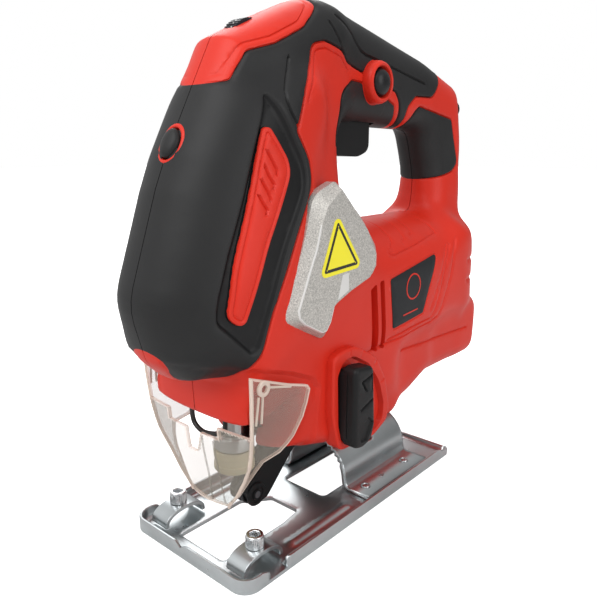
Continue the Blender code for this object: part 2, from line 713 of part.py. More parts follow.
def fan(axis, mats):
    """Cooling fan: a hub disc with straight blades."""
    outline = []
    blades = 10
    for k in range(blades):
        middle = 2 * math.pi * k / blades
        for radius, turn in ((10, -0.20), (24, -0.08), (24, 0.05), (10, 0.06)):
            outline.append((axis[0] + radius * math.cos(middle + turn), axis[1] + radius * math.sin(middle + turn)))
    prism("fan", outline, 24, 33, mats["dark"], "Y", [circle(axis, 4.2, 16)])


def stator(axis, mats):
    """Laminated field core with two pole windows, and the coil in each window."""
    inner = []
    pole, window = 15.2, 22.4
    steps = 6
    for quarter in range(4):
        base = quarter * math.pi / 2
        radius = pole if quarter % 2 == 0 else window
        for k in range(steps + 1):
            turn = base - math.pi / 4 + math.pi / 2 * k / steps
            inner.append((axis[0] + radius * math.cos(turn), axis[1] + radius * math.sin(turn)))
    prism("stator_core", circle(axis, 27.0, 32), 42, 79, mats["iron"], "Y", [inner])
    for name, middle in (("upper", math.pi / 2), ("lower", -math.pi / 2)):
        reach = math.radians(41)
        turns = [middle - reach + 2 * reach * k / steps for k in range(steps + 1)]
        ring = [(axis[0] + 22.0 * math.cos(t), axis[1] + 22.0 * math.sin(t)) for t in turns]
        ring += [(axis[0] + 15.6 * math.cos(t), axis[1] + 15.6 * math.sin(t)) for t in reversed(turns)]
        prism(f"field_coil_{name}", ring, 37, 84, mats["copper"], "Y")


# ---------------------------------------------------------------- gear and plunger

def make_drive(mats):
    gear_centre = (0.0, GEAR_Z)
    half_tooth = math.pi / GEAR_TEETH
    teeth = gear_outline(GEAR_TEETH, gear_centre, -math.pi / 2 + half_tooth)
    gear = prism("drive_gear", teeth, *GEAR_Y, mats["steel"], "Y", [circle(gear_centre, 4.3, 16)])
    pin = tube("guide_crank_pin", (0, GEAR_Z - CRANK), 2.8, 0, GEAR_Y[0] - 5.5, GEAR_Y[0] + 2, mats["steel"], "Y", 12)
    join(gear, pin)
    set_pivot(gear, (0, 0, GEAR_Z))
    turned("gear_spindle", [(0, -23), (4.0, -23), (4.0, -2.4), (0, -2.4)], gear_centre, mats["steel"], "Y", 16)
    gear_case(mats)
    plunger(mats)


def gear_case(mats):
    """Cast plate that carries the bearing and the gear spindle, with two arms for the plunger."""
    plate = rounded([(-26, 86, 6), (26, 86, 6), (26, 150, 14), (13, 178, 8), (-13, 178, 8), (-26, 150, 14)])
    holes = [circle((0, MOTOR_Z), 11.0, 24), circle((0, GEAR_Z), 4.3, 16)]
    case = prism("gear_case", plate, -9, -3, mats["cast"], "Y", holes)
    arm = rounded([(-9, -4, 0.5), (-11, BLADE_Y, 4), (-7, BLADE_Y - 11, 5), (7, BLADE_Y - 11, 5),
                   (11, BLADE_Y, 4), (9, -4, 0.5)])
    for name, low, high in (("lower", 84.5, 95), ("upper", 166, 177)):
        bore = circle((0, BLADE_Y), 8.3, 20)
        join(case, prism(f"guide_arm_{name}", arm, low, high, mats["cast"], "Z", [bore]))


def plunger(mats):
    centre = (0.0, BLADE_Y)
    for name, low, high in (("lower", 83.5, 96), ("upper", 165, 178)):
        tube(f"plunger_bush_{name}", centre, 8.0, 5.3, low, high, mats["bronze"], "Z", 20)
    turned("plunger_rod", [(0, 51.5), (5, 51.5), (5, 187), (4, 188), (0, 188)], centre, mats["steel"], "Z", 20)
    slot = rounded([(-14, GEAR_Z - CRANK - 3.4, 3.3), (14, GEAR_Z - CRANK - 3.4, 3.3),
                    (14, GEAR_Z - CRANK + 3.4, 3.3), (-14, GEAR_Z - CRANK + 3.4, 3.3)])
    plate = rounded([(-17, GEAR_Z - CRANK - 7, 3), (17, GEAR_Z - CRANK - 7, 3),
                     (17, GEAR_Z - CRANK + 7, 3), (-17, GEAR_Z - CRANK + 7, 3)])
    prism("yoke", plate, BLADE_Y + 5.4, GEAR_Y[0] - 6.2, mats["steel"], "Y", [slot])
    turned("blade_clamp_body", [(0, 37), (6, 37), (6, 44.6), (9.4, 44.6), (9.4, 51.0), (0, 51.0)],
           centre, mats["steel"], "Z", 20)
    spun_collar(centre, mats)


def spun_collar(centre, mats):
    """Ring that turns on the clamp body to let the blade go."""
    collar = tube("blade_clamp_collar", centre, 9.6, 6.3, 33.5, 44.2, mats["amber"], "Z", 24)
    set_pivot(collar, (0, BLADE_Y, 40))


# ---------------------------------------------------------------- pendulum action

def make_pendulum(mats):
    y, z = KNOB
    bar = rounded([(y - 7.5, z - 19.5, 4), (y - 7.5, z + 21, 3), (y + 8, z + 19, 4), (y + 9.5, z - 12, 7),
                   (y + 6, z - 20.5, 5)], 20)
    knob = prism("orbital_knob", bar, 37.0, 44.5, mats["black"], "X")
    join(knob, tube("guide_knob_base", KNOB, 9.9, 0, 33.6, 38.0, mats["black"], "X", 24))
    set_pivot(knob, (36, *KNOB))
    shaft = turned("orbital_cam", [(0, -9), (4, -9), (4, 33.3), (0, 33.3)], KNOB, mats["steel"], "X", 16)
    cut(shaft, box("guide_cam_flat", (-10, y - 6, z - 6), (8.5, y + 6, z - 1.2), mats["steel"]))
    set_pivot(shaft, (0, *KNOB))
    roller_fork(mats)


def roller_fork(mats):
    """Lever that pushes the support roller against the blade's back."""
    (py, pz), (ry, rz) = FORK_PIVOT, ROLLER
    outline = rounded([(ry - 2, rz - 6.3, 5), (ry + 8, rz - 5, 6), (py - 13, pz - 17, 10), (py + 6.5, pz - 7, 6),
                       (py + 6, pz + 6, 5), (py - 5, pz + 6, 5), (py - 22, pz - 9, 12), (ry - 7, rz + 4, 5.5)])
    fork = prism("roller_fork", outline, -5.6, 5.6, mats["dark"], "X")
    cut(fork, box("guide_fork_gap", (-3.1, ry - 20, rz - 20), (3.1, ry + 9, rz + 9.5), mats["dark"]),
        tube("guide_fork_hole", FORK_PIVOT, 2.6, 0, -20, 20, mats["dark"], "X", 12),
        tube("guide_roller_axle", ROLLER, 1.9, 0, -20, 20, mats["dark"], "X", 12))
    set_pivot(fork, (0, *FORK_PIVOT))
    roller = turned("support_roller",
                    [(0, -5.2), (1.6, -5.2), (1.6, -2.8), (6, -2.8), (6, -1.4), (5, -0.7), (5, 0.7),
                     (6, 1.4), (6, 2.8), (1.6, 2.8), (1.6, 5.2), (0, 5.2)], ROLLER, mats["steel"], "X", 20)
    set_pivot(roller, (0, *ROLLER))
    turned("fork_pin", [(0, -14), (2.3, -14), (2.3, 14), (0, 14)], FORK_PIVOT, mats["steel"], "X", 12)


# ---------------------------------------------------------------- shoe

def make_shoe(mats):
    front, rear = SHOE_Y
    outer = rounded([(-SHOE_HALF, front, 8), (SHOE_HALF, front, 8), (SHOE_HALF, rear, 3), (-SHOE_HALF, rear, 3)], 15)
    blade_opening = rounded([(-15, front + 8.5, 2), (15, front + 8.5, 2), (15, -22, 2), (13, -9, 2),
                             (-5, -9, 2), (-15, -22, 2)], 30)
    rear_opening = rounded([(-13, 9, 3), (15, 9, 3), (15, 60, 3), (-13, 60, 3)], 30)
    plate = prism("base_plate", outer, 0, SHEET, mats["zinc"], "Z", [blade_opening, rear_opening])
    shoe_rim(plate, outer, mats)
    for side in (-1, 1):
        rib = rounded([(side * 29 - 3.5, -34, 3.4), (side * 29 + 3.5, -34, 3.4),
                       (side * 29 + 3.5, 11, 3.4), (side * 29 - 3.5, 11, 3.4)], 30)
        join(plate, prism(f"guide_rib_{side}", rib, SHEET - 1, SHEET + 1.4, mats["zinc"], "Z"))
    set_pivot(plate, (0, 0, ARCH_Z))
    bevel_bracket(mats)
    for side, name in ((1, "left"), (-1, "right")):
        fence_clamp(side, name, mats)


def shoe_rim(plate, outer, mats):
    """Upturned rim, broken at each side where the fence bar passes, and lower at the back."""
    rim = prism("guide_rim", inset(outer, 0.04), SHEET - 1, 7, mats["zinc"], "Z", [inset(outer, 2.0)])
    low_back = box("guide_rim_back", (-60, 88, 4.5), (60, 110, 20), mats["zinc"])
    fence_gap = box("guide_rim_gap", (-60, -59, SHEET - 2), (60, -45, 20), mats["zinc"])
    cut(rim, low_back, fence_gap)
    join(plate, rim)


def bevel_bracket(mats):
    """Half-round bracket that the body tilts on, with a foot each side and a slot for the bolt."""
    base = SHEET + GAP
    steps = 14
    outer = [(ARCH_R * math.cos(math.pi * k / steps), ARCH_Z + ARCH_R * math.sin(math.pi * k / steps))
             for k in range(steps + 1)]
    inner_r = ARCH_R - SHEET
    inner = [(inner_r * math.cos(math.pi * k / steps), ARCH_Z + inner_r * math.sin(math.pi * k / steps))
             for k in range(steps + 1)]
    profile = [(35, base), (35, base + SHEET), (ARCH_R, base + SHEET)] + outer
    profile += [(-ARCH_R, base + SHEET), (-35, base + SHEET), (-35, base), (-inner_r, base)]
    profile += inner[::-1] + [(inner_r, base)]
    bracket = prism("bevel_bracket", profile, 20.5, 77, mats["zinc"], "Y")
    cut(bracket, box("guide_bevel_slot", (-16.5, 44.9, 18.5), (16.5, 51.1, 40), mats["zinc"]))
    set_pivot(bracket, (0, 0, ARCH_Z))
    bolt = [(0, 20.3), (4.4, 20.3), (4.4, 24.3), (2.5, 24.3), (2.5, 40.5), (0, 40.5)]
    turned("bevel_bolt", bolt, (0, 48), mats["steel"], "Z", 16)
    nut = [(-9, 39), (9, 39), (9, 57), (-9, 57)]
    prism("bevel_clamp_block", nut, 35.4, 42, mats["steel"], "Z", [circle((0, 48), 2.8, 16)])


def fence_clamp(side, name, mats):
    """Bent strip that bridges the fence bar, with the screw that presses on the bar."""
    base = SHEET + GAP
    steps = 8
    rise, half = 7.2, 11.0
    outer = [(half * math.cos(math.pi * k / steps), base + 1.0 + rise * math.sin(math.pi * k / steps) ** 0.7)
             for k in range(steps + 1)]
    inner = [((half - 2) * math.cos(math.pi * k / steps), base + (rise - 1) * math.sin(math.pi * k / steps) ** 0.7)
             for k in range(steps + 1)]
    outline = [(CLAMP_Y + a, b) for a, b in outer]
    outline += [(CLAMP_Y + a, b) for a, b in ((-half, base), (-half + 2, base))]
    outline += [(CLAMP_Y + a, b) for a, b in inner[::-1][1:-1]]
    outline += [(CLAMP_Y + a, b) for a, b in ((half - 2, base), (half, base))]
    low, high = sorted((side * (CLAMP_X - 5.6), side * (CLAMP_X + 5.6)))
    strip = prism(f"fence_clamp_{name}", outline, low, high, mats["zinc"], "X")
    cut(strip, tube(f"guide_clamp_hole_{name}", (side * CLAMP_X, CLAMP_Y), 2.6, 0, 5, 30, mats["zinc"], "Z", 12))
    set_pivot(strip, (0, 0, ARCH_Z))
    screw = [(0, 7.1), (2.3, 7.1), (2.3, 11.1), (4.1, 11.1), (4.1, 16.4), (3.7, 17), (2.2, 17), (2.2, 14.5), (0, 14.5)]
    piece = turned(f"fence_screw_{name}", screw, (side * CLAMP_X, CLAMP_Y), mats["zinc"], "Z", 16)
    set_pivot(piece, (0, 0, ARCH_Z))


# ---------------------------------------------------------------- guards

def make_guards(mats):
    guard = blade_guard(mats)
    set_pivot(guard, (0, *GUARD_PIVOT))
    finger_wire(mats)


def blade_guard(mats):
    """Clear shield: a front panel that narrows downwards and a wing back along each side."""
    wall = 1.6
    rows = [(88.6, 35.6, -64.6, -25), (80, 35.2, -64.4, -25.5), (66, 34.2, -63.4, -28), (52, 31.0, -61.0, -34),
            (42, 26.0, -59.0, -43), (32, 20.0, -57.8, -50.5), (22, 12.5, -56.6, -54.6)]
    stations = [0.0, 0.35, 0.7, 0.9, 1.0]
    outer, inner = [], []
    for z, half, front, back in rows:
        curve = [(half * s, front + 2.2 * s * s) for s in stations[:-1]]
        corner = (half, front + 5.0)
        wing = [(half, corner[1] + (back - corner[1]) * k / 2) for k in (1, 2)]
        line = curve + [corner] + wing
        outer.append([(x, y, z) for x, y in line])
        inner.append([(max(0.0, x - (wall if i >= 3 else 0.0)), y + (wall if i <= 4 else 0.0), z)
                      for i, (x, y) in enumerate(line)])
    shield = shell_from_rows("blade_guard", outer, inner, mats["clear"])
    steps = [(-31.5, 66), (-18, 66), (-18, 60.5), (-5.6, 60.5), (-5.6, 50), (0, 50), (4, 60.5), (14.9, 60.5),
             (14.9, 66), (31.5, 66), (31.5, 100), (-31.5, 100)]
    return cut(shield, prism("guide_guard_top", steps, -80, -54.5, mats["clear"], "Y"))


def shell_from_rows(name, outer, inner, mat):
    """Thin solid from matching rows of outer and inner points, mirrored across X = 0."""
    rows, columns = len(outer), len(outer[0])
    wide = 2 * columns - 1

    def full(line):
        return [(-x, y, z) for x, y, z in reversed(line[1:])] + list(line)

    points = [p for line in outer for p in full(line)] + [p for line in inner for p in full(line)]
    shift = rows * wide
    result = []
    for r in range(rows - 1):
        for c in range(wide - 1):
            a, b = r * wide + c, r * wide + c + 1
            d, e = a + wide, b + wide
            result += [(a, d, e, b), (a + shift, b + shift, e + shift, d + shift)]
    for c in range(wide - 1):
        top, bottom = c, (rows - 1) * wide + c
        result += [(top + 1, top + 1 + shift, top + shift, top),
                   (bottom, bottom + shift, bottom + 1 + shift, bottom + 1)]
    for r in range(rows - 1):
        left, right = r * wide, r * wide + wide - 1
        result += [(left, left + shift, left + wide + shift, left + wide),
                   (right, right + wide, right + wide + shift, right + shift)]
    return mesh_object(name, points, result, mat, 30)


def finger_wire(mats):
    """Bent wire in front of the clamp that keeps fingers off the blade."""
    path = [(-9, -50, 84), (-9, -55, 79), (-9, -55.5, 66), (-8, -55.5, 60), (0, -55.5, 58), (6, -55.5, 57.5),
            (12, -55.5, 58), (13, -55.5, 61), (13, -55, 79), (13, -50, 84)]
    curve = bpy.data.curves.new("finger_guard_wire", "CURVE")
    curve.dimensions = "3D"
    curve.bevel_depth = 1.1 * MM
    curve.bevel_resolution = 2
    curve.use_fill_caps = True
    spline = curve.splines.new("POLY")
    spline.points.add(len(path) - 1)
    for point, place in zip(spline.points, path):
        point.co = (*[MM * c for c in place], 1)
    curve.materials.append(mats["dark"])
    wire = bpy.data.objects.new("finger_guard_wire", curve)
    bpy.context.scene.collection.objects.link(wire)


def main():
    clear_scene()
    mats = make_materials()
    make_housing(mats)
    make_controls(mats)
    make_motor(mats)
    make_drive(mats)
    make_pendulum(mats)
    make_shoe(mats)
    make_guards(mats)


main()
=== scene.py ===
"""Looks for the corded jigsaw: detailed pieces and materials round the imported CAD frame.

Sizes below are millimetres in the row's frame (+X the operator's left, -Y forward,
+Z up); mesh_object() turns them into metres.  Each half of the casing is a height
field x = f(y, z) over one shared triangulation, cut into its red and black pieces.
"""
import math

import bmesh
import bpy
import numpy as np
from mathutils import Matrix, Vector, geometry


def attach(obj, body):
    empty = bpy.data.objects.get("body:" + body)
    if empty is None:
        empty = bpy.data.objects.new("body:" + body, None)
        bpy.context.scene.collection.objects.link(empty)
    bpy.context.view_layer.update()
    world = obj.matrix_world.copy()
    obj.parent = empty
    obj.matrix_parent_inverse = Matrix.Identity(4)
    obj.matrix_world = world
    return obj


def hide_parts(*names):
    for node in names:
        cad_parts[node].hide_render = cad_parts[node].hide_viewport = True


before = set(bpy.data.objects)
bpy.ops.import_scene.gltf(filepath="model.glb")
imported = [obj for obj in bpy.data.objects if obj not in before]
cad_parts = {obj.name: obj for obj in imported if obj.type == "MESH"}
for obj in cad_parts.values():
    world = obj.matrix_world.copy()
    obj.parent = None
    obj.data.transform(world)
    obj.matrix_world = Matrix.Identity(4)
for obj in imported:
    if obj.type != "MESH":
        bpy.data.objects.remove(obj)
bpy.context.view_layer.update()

MM = 0.001
SIDES = ((1, "left"), (-1, "right"))
SEAM = 0.2
SKIN = 2.4           # wall of the casing pieces
THINNEST = 0.6       # the casing is cut away where less than this would stay
PADS_UP = 0.25       # how far the soft grips stand over the red casing

# ---- shape of the casing

# side outline: (y, z, corner radius)
OUTLINE = [
    (-45.5, 221.4, 4.5), (-73, 171, 90), (-90.5, 121, 24), (-84, 97, 12), (-74, 87.5, 8),
    (-62, 86.5, 2), (-61, 68, 3), (-27, 67, 3), (-35, 45, 4.5), (2, 35.5, 12), (17, 29.3, 8),
    (63, 29.3, 4.5), (68, 35, 3.5), (76, 36, 5), (97, 44, 8), (158, 44, 12),
    (159.5, 86, 12), (147.5, 91, 3), (150, 95, 3), (150, 99, 3), (147.5, 103, 3), (150, 107, 3),
    (150, 111, 3), (147.5, 115, 3), (149.5, 119, 3), (149.5, 123, 3), (147, 127, 3),
    (146, 142, 8), (147.5, 180, 30), (139, 213, 12), (100, 225, 60), (7, 244.2, 36), (-19, 233.4, 40),
]
FINGERS = [(20, 190, 8), (98, 187.5, 9), (108, 160, 30), (105, 141.5, 6), (21, 141.5, 9)]

# half width and edge rounding: (y, z, half width, rounding, reach)
ZONES = [
    (-40, 215, 17, 12, 9), (-18, 226, 20, 16, 10), (2, 228, 20, 18, 10),
    (-50, 178, 28, 28, 12), (-22, 190, 29, 26, 12), (-60, 150, 31.5, 40, 12),
    (-30, 155, 32.5, 36, 14), (-66, 122, 32.5, 42, 12), (-35, 120, 34, 38, 14),
    (-70, 102, 32, 26, 7), (-52, 98, 34, 24, 8), (-50, 78, 31.5, 3, 9),
    (-25, 82, 32, 12, 10), (2, 165, 24, 20, 12), (14, 178, 17, 12, 10), (12, 200, 20, 16, 8),
    (-2, 125, 33, 20, 12), (0, 90, 32, 16, 12), (0, 62, 32, 12, 12),
    (-22, 55, 31, 12, 8), (30, 60, 30, 14, 12), (40, 38, 25, 12, 8),
    (30, 110, 32, 30, 12), (70, 110, 32, 32, 14), (110, 110, 31, 30, 14),
    (140, 108, 30, 26, 8), (75, 60, 26, 18, 10), (110, 65, 24.5, 14, 9),
    (145, 67, 25, 13, 9), (40, 210, 15.5, 17, 14), (80, 206, 14.5, 16, 14),
    (122, 203, 14, 15, 12), (126, 175, 13.5, 15, 12), (128, 152, 16, 17, 8),
]
SHOULDER = 2.2
SOFTNESS = 6.0

SOFT_GRIP = [
    (-110, 192, 0), (-49.5, 204, 3), (-41, 215.3, 4), (-28, 219, 8), (-11, 226.8, 10), (2, 237, 6),
    (8, 262, 0), (125, 240, 0), (112, 216, 6), (105, 208, 4), (101, 204.8, 4), (84, 204.6, 4),
    (77, 199, 4), (80, 186, 0), (75.5, 186, 0), (68, 201.5, 6), (64, 206, 3), (46, 210, 3),
    (30, 214, 3), (20, 216.5, 6), (14.8, 220.4, 1.5), (1, 223, 8), (-8, 221, 6), (-10.5, 213.5, 8),
    (-21, 202, 20), (-27.2, 185.5, 2), (-16.5, 169, 16), (-27, 152, 60), (-45, 119, 60), (-53, 99, 5),
    (-62, 87.7, 8), (-75, 88.2, 10), (-86.5, 104, 0), (-110, 110, 0),
]
TRIGGER_PAD = [(25.5, 209, 5), (13.5, 203, 8), (12, 180, 0), (78, 180, 0), (70, 190, 3), (64, 199.5, 2),
               (54, 203, 2), (45, 206, 3), (33, 208.5, 3)]
STRUT_PAD = [(78, 178, 0), (85.5, 197, 3), (89, 199.8, 3), (112, 196, 20), (125, 194, 3),
             (135.5, 169, 4), (128, 164, 8), (107, 160, 0), (95, 160, 0)]
CHANNEL = [(-40, 203, 2.5), (-19, 168, 18), (-38, 136, 80), (-52.5, 101, 3), (-57, 99, 4),
           (-72, 114.5, 6), (-71.5, 123, 20), (-65.5, 140, 60)]
INLAY = [(-43, 190, 2.5), (-31, 172, 10), (-47, 142, 60), (-60, 111.5, 3), (-67, 116.5, 5),
         (-63, 135, 40)]
SIDE_PLATE = [(-8.5, 165.6, 3), (12, 147.5, 40), (23.8, 133, 8), (22.2, 121.5, 4), (-7, 113, 3),
              (-15, 97.3, 3.5), (-41.5, 110.6, 3.5), (-28, 142, 40), (-22.5, 160.5, 10)]
BADGE_PLATE = [(39.5, 115, 1.5), (86.5, 122, 1.5), (78.2, 105.7, 3), (72.2, 91.5, 1.5),
               (43.4, 88.5, 1.5)]
TRIANGLE = [(-12, 152.7, 2.5), (-23, 126, 2.5), (6.8, 127.3, 2.5)]
NOSE_BUTTON = (-66.7, 180.5)
NOSE_TILT = math.radians(26)
KNOB = (2.0, 63.0)
LOCK = (44.0, 209.0)
LOCK_CLEAR = 10.4    # the soft covers stop short of the lock button's red collar
DIAL = (-26.6, 219.6)
GLAND = (142.0, 199.0)
GLAND_TILT = math.radians(18)
SCREWS = [(-10, 75, 30.0), (120, 76, 22.0), (126, 150, 12.5), (6, 232, 14.0)]


# ---- plane outlines

def rounded(corners, step=12.0):
    """Closed outline through corners (a, b, radius), each turned by an arc."""
    points = []
    count = len(corners)
    for i, (a, b, radius) in enumerate(corners):
        if not radius:
            points.append((a, b))
            continue
        here = Vector((a, b))
        before = Vector(corners[i - 1][:2]) - here
        after = Vector(corners[(i + 1) % count][:2]) - here
        half = before.angle(after) / 2
        reach = min(radius / math.tan(half), 0.48 * before.length, 0.48 * after.length)
        radius = reach * math.tan(half)
        middle = (before.normalized() + after.normalized()).normalized()
        centre = here + middle * (radius / math.sin(half))
        start = here + before.normalized() * reach - centre
        sweep = start.angle_signed(here + after.normalized() * reach - centre)
        parts = max(1, round(abs(math.degrees(sweep)) / step))
        for k in range(parts + 1):
            turn = -sweep * k / parts
            cos, sin = math.cos(turn), math.sin(turn)
            points.append((centre.x + start.x * cos - start.y * sin,
                           centre.y + start.x * sin + start.y * cos))
    return np.array(points)


def resample(points, spacing, closed=True):
    """Splits every run of a line so that its points are at most spacing apart."""
    points = np.asarray(points, float)
    ends = np.roll(points, -1, axis=0) if closed else points[1:]
    result = []
    for start, end in zip(points, ends):
        parts = max(1, math.ceil(np.linalg.norm(end - start) / spacing))
        result += [start + (end - start) * k / parts for k in range(parts)]
    if not closed:
        result.append(points[-1])
    return np.array(result)


def circle(centre, radius, sides, start=0.13):
    turns = start + np.arange(sides) * 2 * math.pi / sides
    return np.stack([centre[0] + radius * np.cos(turns), centre[1] + radius * np.sin(turns)], 1)


def signed_area(points):
    after = np.roll(points, -1, axis=0)
    return 0.5 * float(np.sum(points[:, 0] * after[:, 1] - after[:, 0] * points[:, 1]))


def inset(points, depth):
    """Moves a closed outline inward by depth, or outward where depth is negative."""
    points = np.asarray(points, float)
    ahead = np.roll(points, -1, axis=0) - points
    ahead /= np.maximum(1e-9, np.linalg.norm(ahead, axis=1))[:, None]
    side = np.stack([-ahead[:, 1], ahead[:, 0]], 1) * np.sign(signed_area(points))
    normal = side + np.roll(side, 1, axis=0)
    normal /= np.maximum(0.3, np.sum(normal * side, axis=1))[:, None]
    return points + normal * depth


def inside(points, outline):
    result = np.zeros(len(points), bool)
    for (a0, b0), (a1, b1) in zip(outline, np.roll(outline, -1, axis=0)):
        if b1 != b0:
            crosses = (b0 > points[:, 1]) != (b1 > points[:, 1])
            reach = a0 + (points[:, 1] - b0) * (a1 - a0) / (b1 - b0)
            result ^= crosses & (points[:, 0] < reach)
    return result


def distance(points, outline, closed=True):
    """Distance of each point from a line."""
    outline = np.asarray(outline, float)
    best = np.full(len(points), 1e9)
    ends = np.roll(outline, -1, axis=0) if closed else outline[1:]
    for start, end in zip(outline, ends):
        run = end - start
        share = np.clip((points - start) @ run / max(1e-12, run @ run), 0, 1)
        best = np.minimum(best, np.linalg.norm(points - start - share[:, None] * run, axis=1))
    return best


def depth_in(points, outline):
    """Distance inside a closed outline, negative outside it."""
    return np.where(inside(points, outline), 1, -1) * distance(points, outline)


def smooth(edge0, edge1, value):
    share = np.clip((value - edge0) / (edge1 - edge0), 0, 1)
    return share * share * (3 - 2 * share)


def valley(apart, width, deep):
    """Depth of a groove with a round floor, from the distance to its centre line."""
    return -deep * np.exp(-(apart / (0.5 * width)) ** 2 * 1.6)


# ---- the casing's faces

LOOPS = {name: resample(rounded(loop), 2.0) for name, loop in {
    "soft_grip": SOFT_GRIP, "trigger_pad": TRIGGER_PAD, "strut_pad": STRUT_PAD,
    "channel": CHANNEL, "inlay": INLAY, "side_plate": SIDE_PLATE, "badge": BADGE_PLATE}.items()}
SOFT = ("soft_grip", "trigger_pad", "strut_pad")

# thin grooves drawn on the faces, by name, as open lines of (y, z)
LINES = {
    "grip_a": [(5.2, 230.9), (7.4, 228.3), (11.4, 223.9), (14.9, 220.3)],
    "grip_b": [(11, 234.7), (19, 230.8), (24.6, 228.2), (29.2, 224.5), (32.4, 222.2), (36.4, 220.8),
               (52.7, 218.2), (66.5, 216.1), (92.7, 211.4)],
    "grip_c": [(-23.3, 214), (-24.9, 210.6), (-28.3, 205), (-30.7, 201), (-31.6, 196.8), (-30.4, 193),
               (-26.3, 187)],
    "inlay_1": [(-43, 177.5), (-41.1, 174), (-39.7, 171.1), (-39.9, 169.1)],
    "inlay_2": [(-45, 172.2), (-43.6, 168.6), (-41.7, 165.3), (-42.2, 164.1)],
    "inlay_3": [(-47.2, 166.9), (-45.3, 163.1), (-44.2, 160.2), (-44.5, 159.3)],
    "inlay_4": [(-49.4, 161.6), (-47.8, 158.3), (-46.2, 155.8), (-47, 154.5)],
    "vent_1": [(52, 143), (51.6, 136), (50.5, 131.5), (46.6, 129.4)],
    "vent_2": [(64.5, 143), (64.3, 136), (63, 132), (59.2, 130.4)],
    "vent_3": [(74.5, 143), (74.2, 137), (73, 133.8), (69.4, 132.7)],
    "vent_4": [(92, 143), (94.2, 136), (95, 131.6), (70, 128), (47, 125.5), (43.5, 127)],
    "contour_1": [(109, 126.6), (105.4, 118.5), (102.8, 107.3), (96.2, 93.8), (90.7, 86), (83, 83.5),
                  (51.6, 81.7), (15, 81.4)],
    "contour_2": [(102.5, 125), (97.2, 115.7), (91.6, 100.5), (86.6, 91), (81.4, 86.3), (60, 85.4),
                  (40.3, 83.3)],
    "contour_3": [(98.8, 123.8), (95, 118.2), (89.4, 106.6), (83.4, 96.3), (80.6, 92.3)],
    "duct": [(58.7, 72), (106, 68.7), (138, 67.2)],
    "rear_a": [(124, 101), (151, 101)],
    "rear_b": [(124, 113), (151, 113)],
}
GROOVES = {"grip": (1.5, 1.3), "inlay": (1.5, 1.3), "rear": (3.0, 1.0)}     # width and depth
PLAIN_GROOVE = (1.7, 1.0)
CAP_GROOVE = 2.8     # how far inside the cap's edge its groove runs
SLOTS = {"slot_a": [(22.2, 112.8, 1), (27, 115, 1), (31.4, 79, 1), (25.1, 81.8, 1)],
         "slot_b": [(29.9, 115.4, 1), (33.3, 115.9, 1), (37.6, 79.5, 1), (34, 80.4, 1)]}
SLOT_EDGE = (-0.1, 0.25)
BADGE_EDGE = (-1.2, -0.7)
CHEEK = [(-75, 99), (-58, 95), (-48, 92.5), (-34, 87.6), (-19.5, 81), (-14.5, 75), (-16, 60), (-19, 30)]

# openings through both halves along the seam plane: (low y, high y, low z, high z, half width,
# z above which the opening's sides are drawn in the triangulation)
WINDOWS = [(-52.8, -24, 20, 78, 11.6, 67), (-57.4, -49, 60, 86, 15.4, 66),
           (-64, -56.5, 60, 74, 2.4, 66), (-36, 20, 20, 50, 7.2, 28), (22.4, 55.6, 178, 206, 7.6, 188)]
RAMP = 0.12          # width of a window's edge
DIAL_BORE = (11.4, 11.6)
WELL_BORE = (3.9, 4.1)
PORT_Z, PORT_RADIUS, PORT_FROM_Y = 67, 15.0, 135
BUTTON_BORE = (5.9, 7.3)
GLAND_BORE = 6.4
LOCK_BORE = circle(LOCK, 7.0, 40)
LOCK_EDGE = circle(LOCK, LOCK_CLEAR, 48)
KNOB_BORE = circle(KNOB, 4.5, 24)


class Casing:
    """Half width of the casing over its side outline, as in the CAD part."""

    def __init__(self):
        self.outline = resample(rounded(OUTLINE), 2.2)
        self.fingers = resample(rounded(FINGERS), 2.2)
        fine = [resample(loop, 1.5) for loop in (self.outline, self.fingers)]
        self.edge = np.concatenate(fine)
        self.weight = np.concatenate([np.linalg.norm(np.roll(f, -1, axis=0) - f, axis=1) for f in fine])
        share = math.gamma((SOFTNESS - 1) / 2) / math.gamma(SOFTNESS / 2)
        self.scale = (math.sqrt(math.pi) * share) ** (1 / (SOFTNESS - 1))

    def depth(self, points):
        exact = np.minimum(distance(points, self.outline), distance(points, self.fingers))
        smoothed = []
        for part in np.array_split(points, max(1, len(points) // 4000)):
            apart = np.linalg.norm(part[:, None] - self.edge[None], axis=2)
            total = (self.weight / np.maximum(apart, 1e-6) ** SOFTNESS).sum(axis=1)
            smoothed.append(self.scale * total ** (-1 / (SOFTNESS - 1)))
        blend = np.clip((exact - 1.5) / 3, 0, 1)
        return exact * (1 - blend) + np.concatenate(smoothed) * blend

    def prepare(self, points):
        """Keeps the blended zone values and the depth of a set of points."""
        zones = np.array(ZONES, float)
        apart = ((points[:, None] - zones[None, :, :2]) ** 2).sum(axis=2)
        share = np.exp(-apart / (2 * zones[:, 4] ** 2)) + 1e-9 / (apart + 1)
        share /= share.sum(axis=1)[:, None]
        return share @ zones[:, 2], share @ zones[:, 3], self.depth(points)

    @staticmethod
    def face(prepared, sunk=0.0):
        width, rounding, depth = prepared
        fall = 1 - np.clip((depth - sunk) / (rounding - sunk), 0, 1)
        return (width - sunk) * (1 - fall ** SHOULDER) ** (1 / SHOULDER)


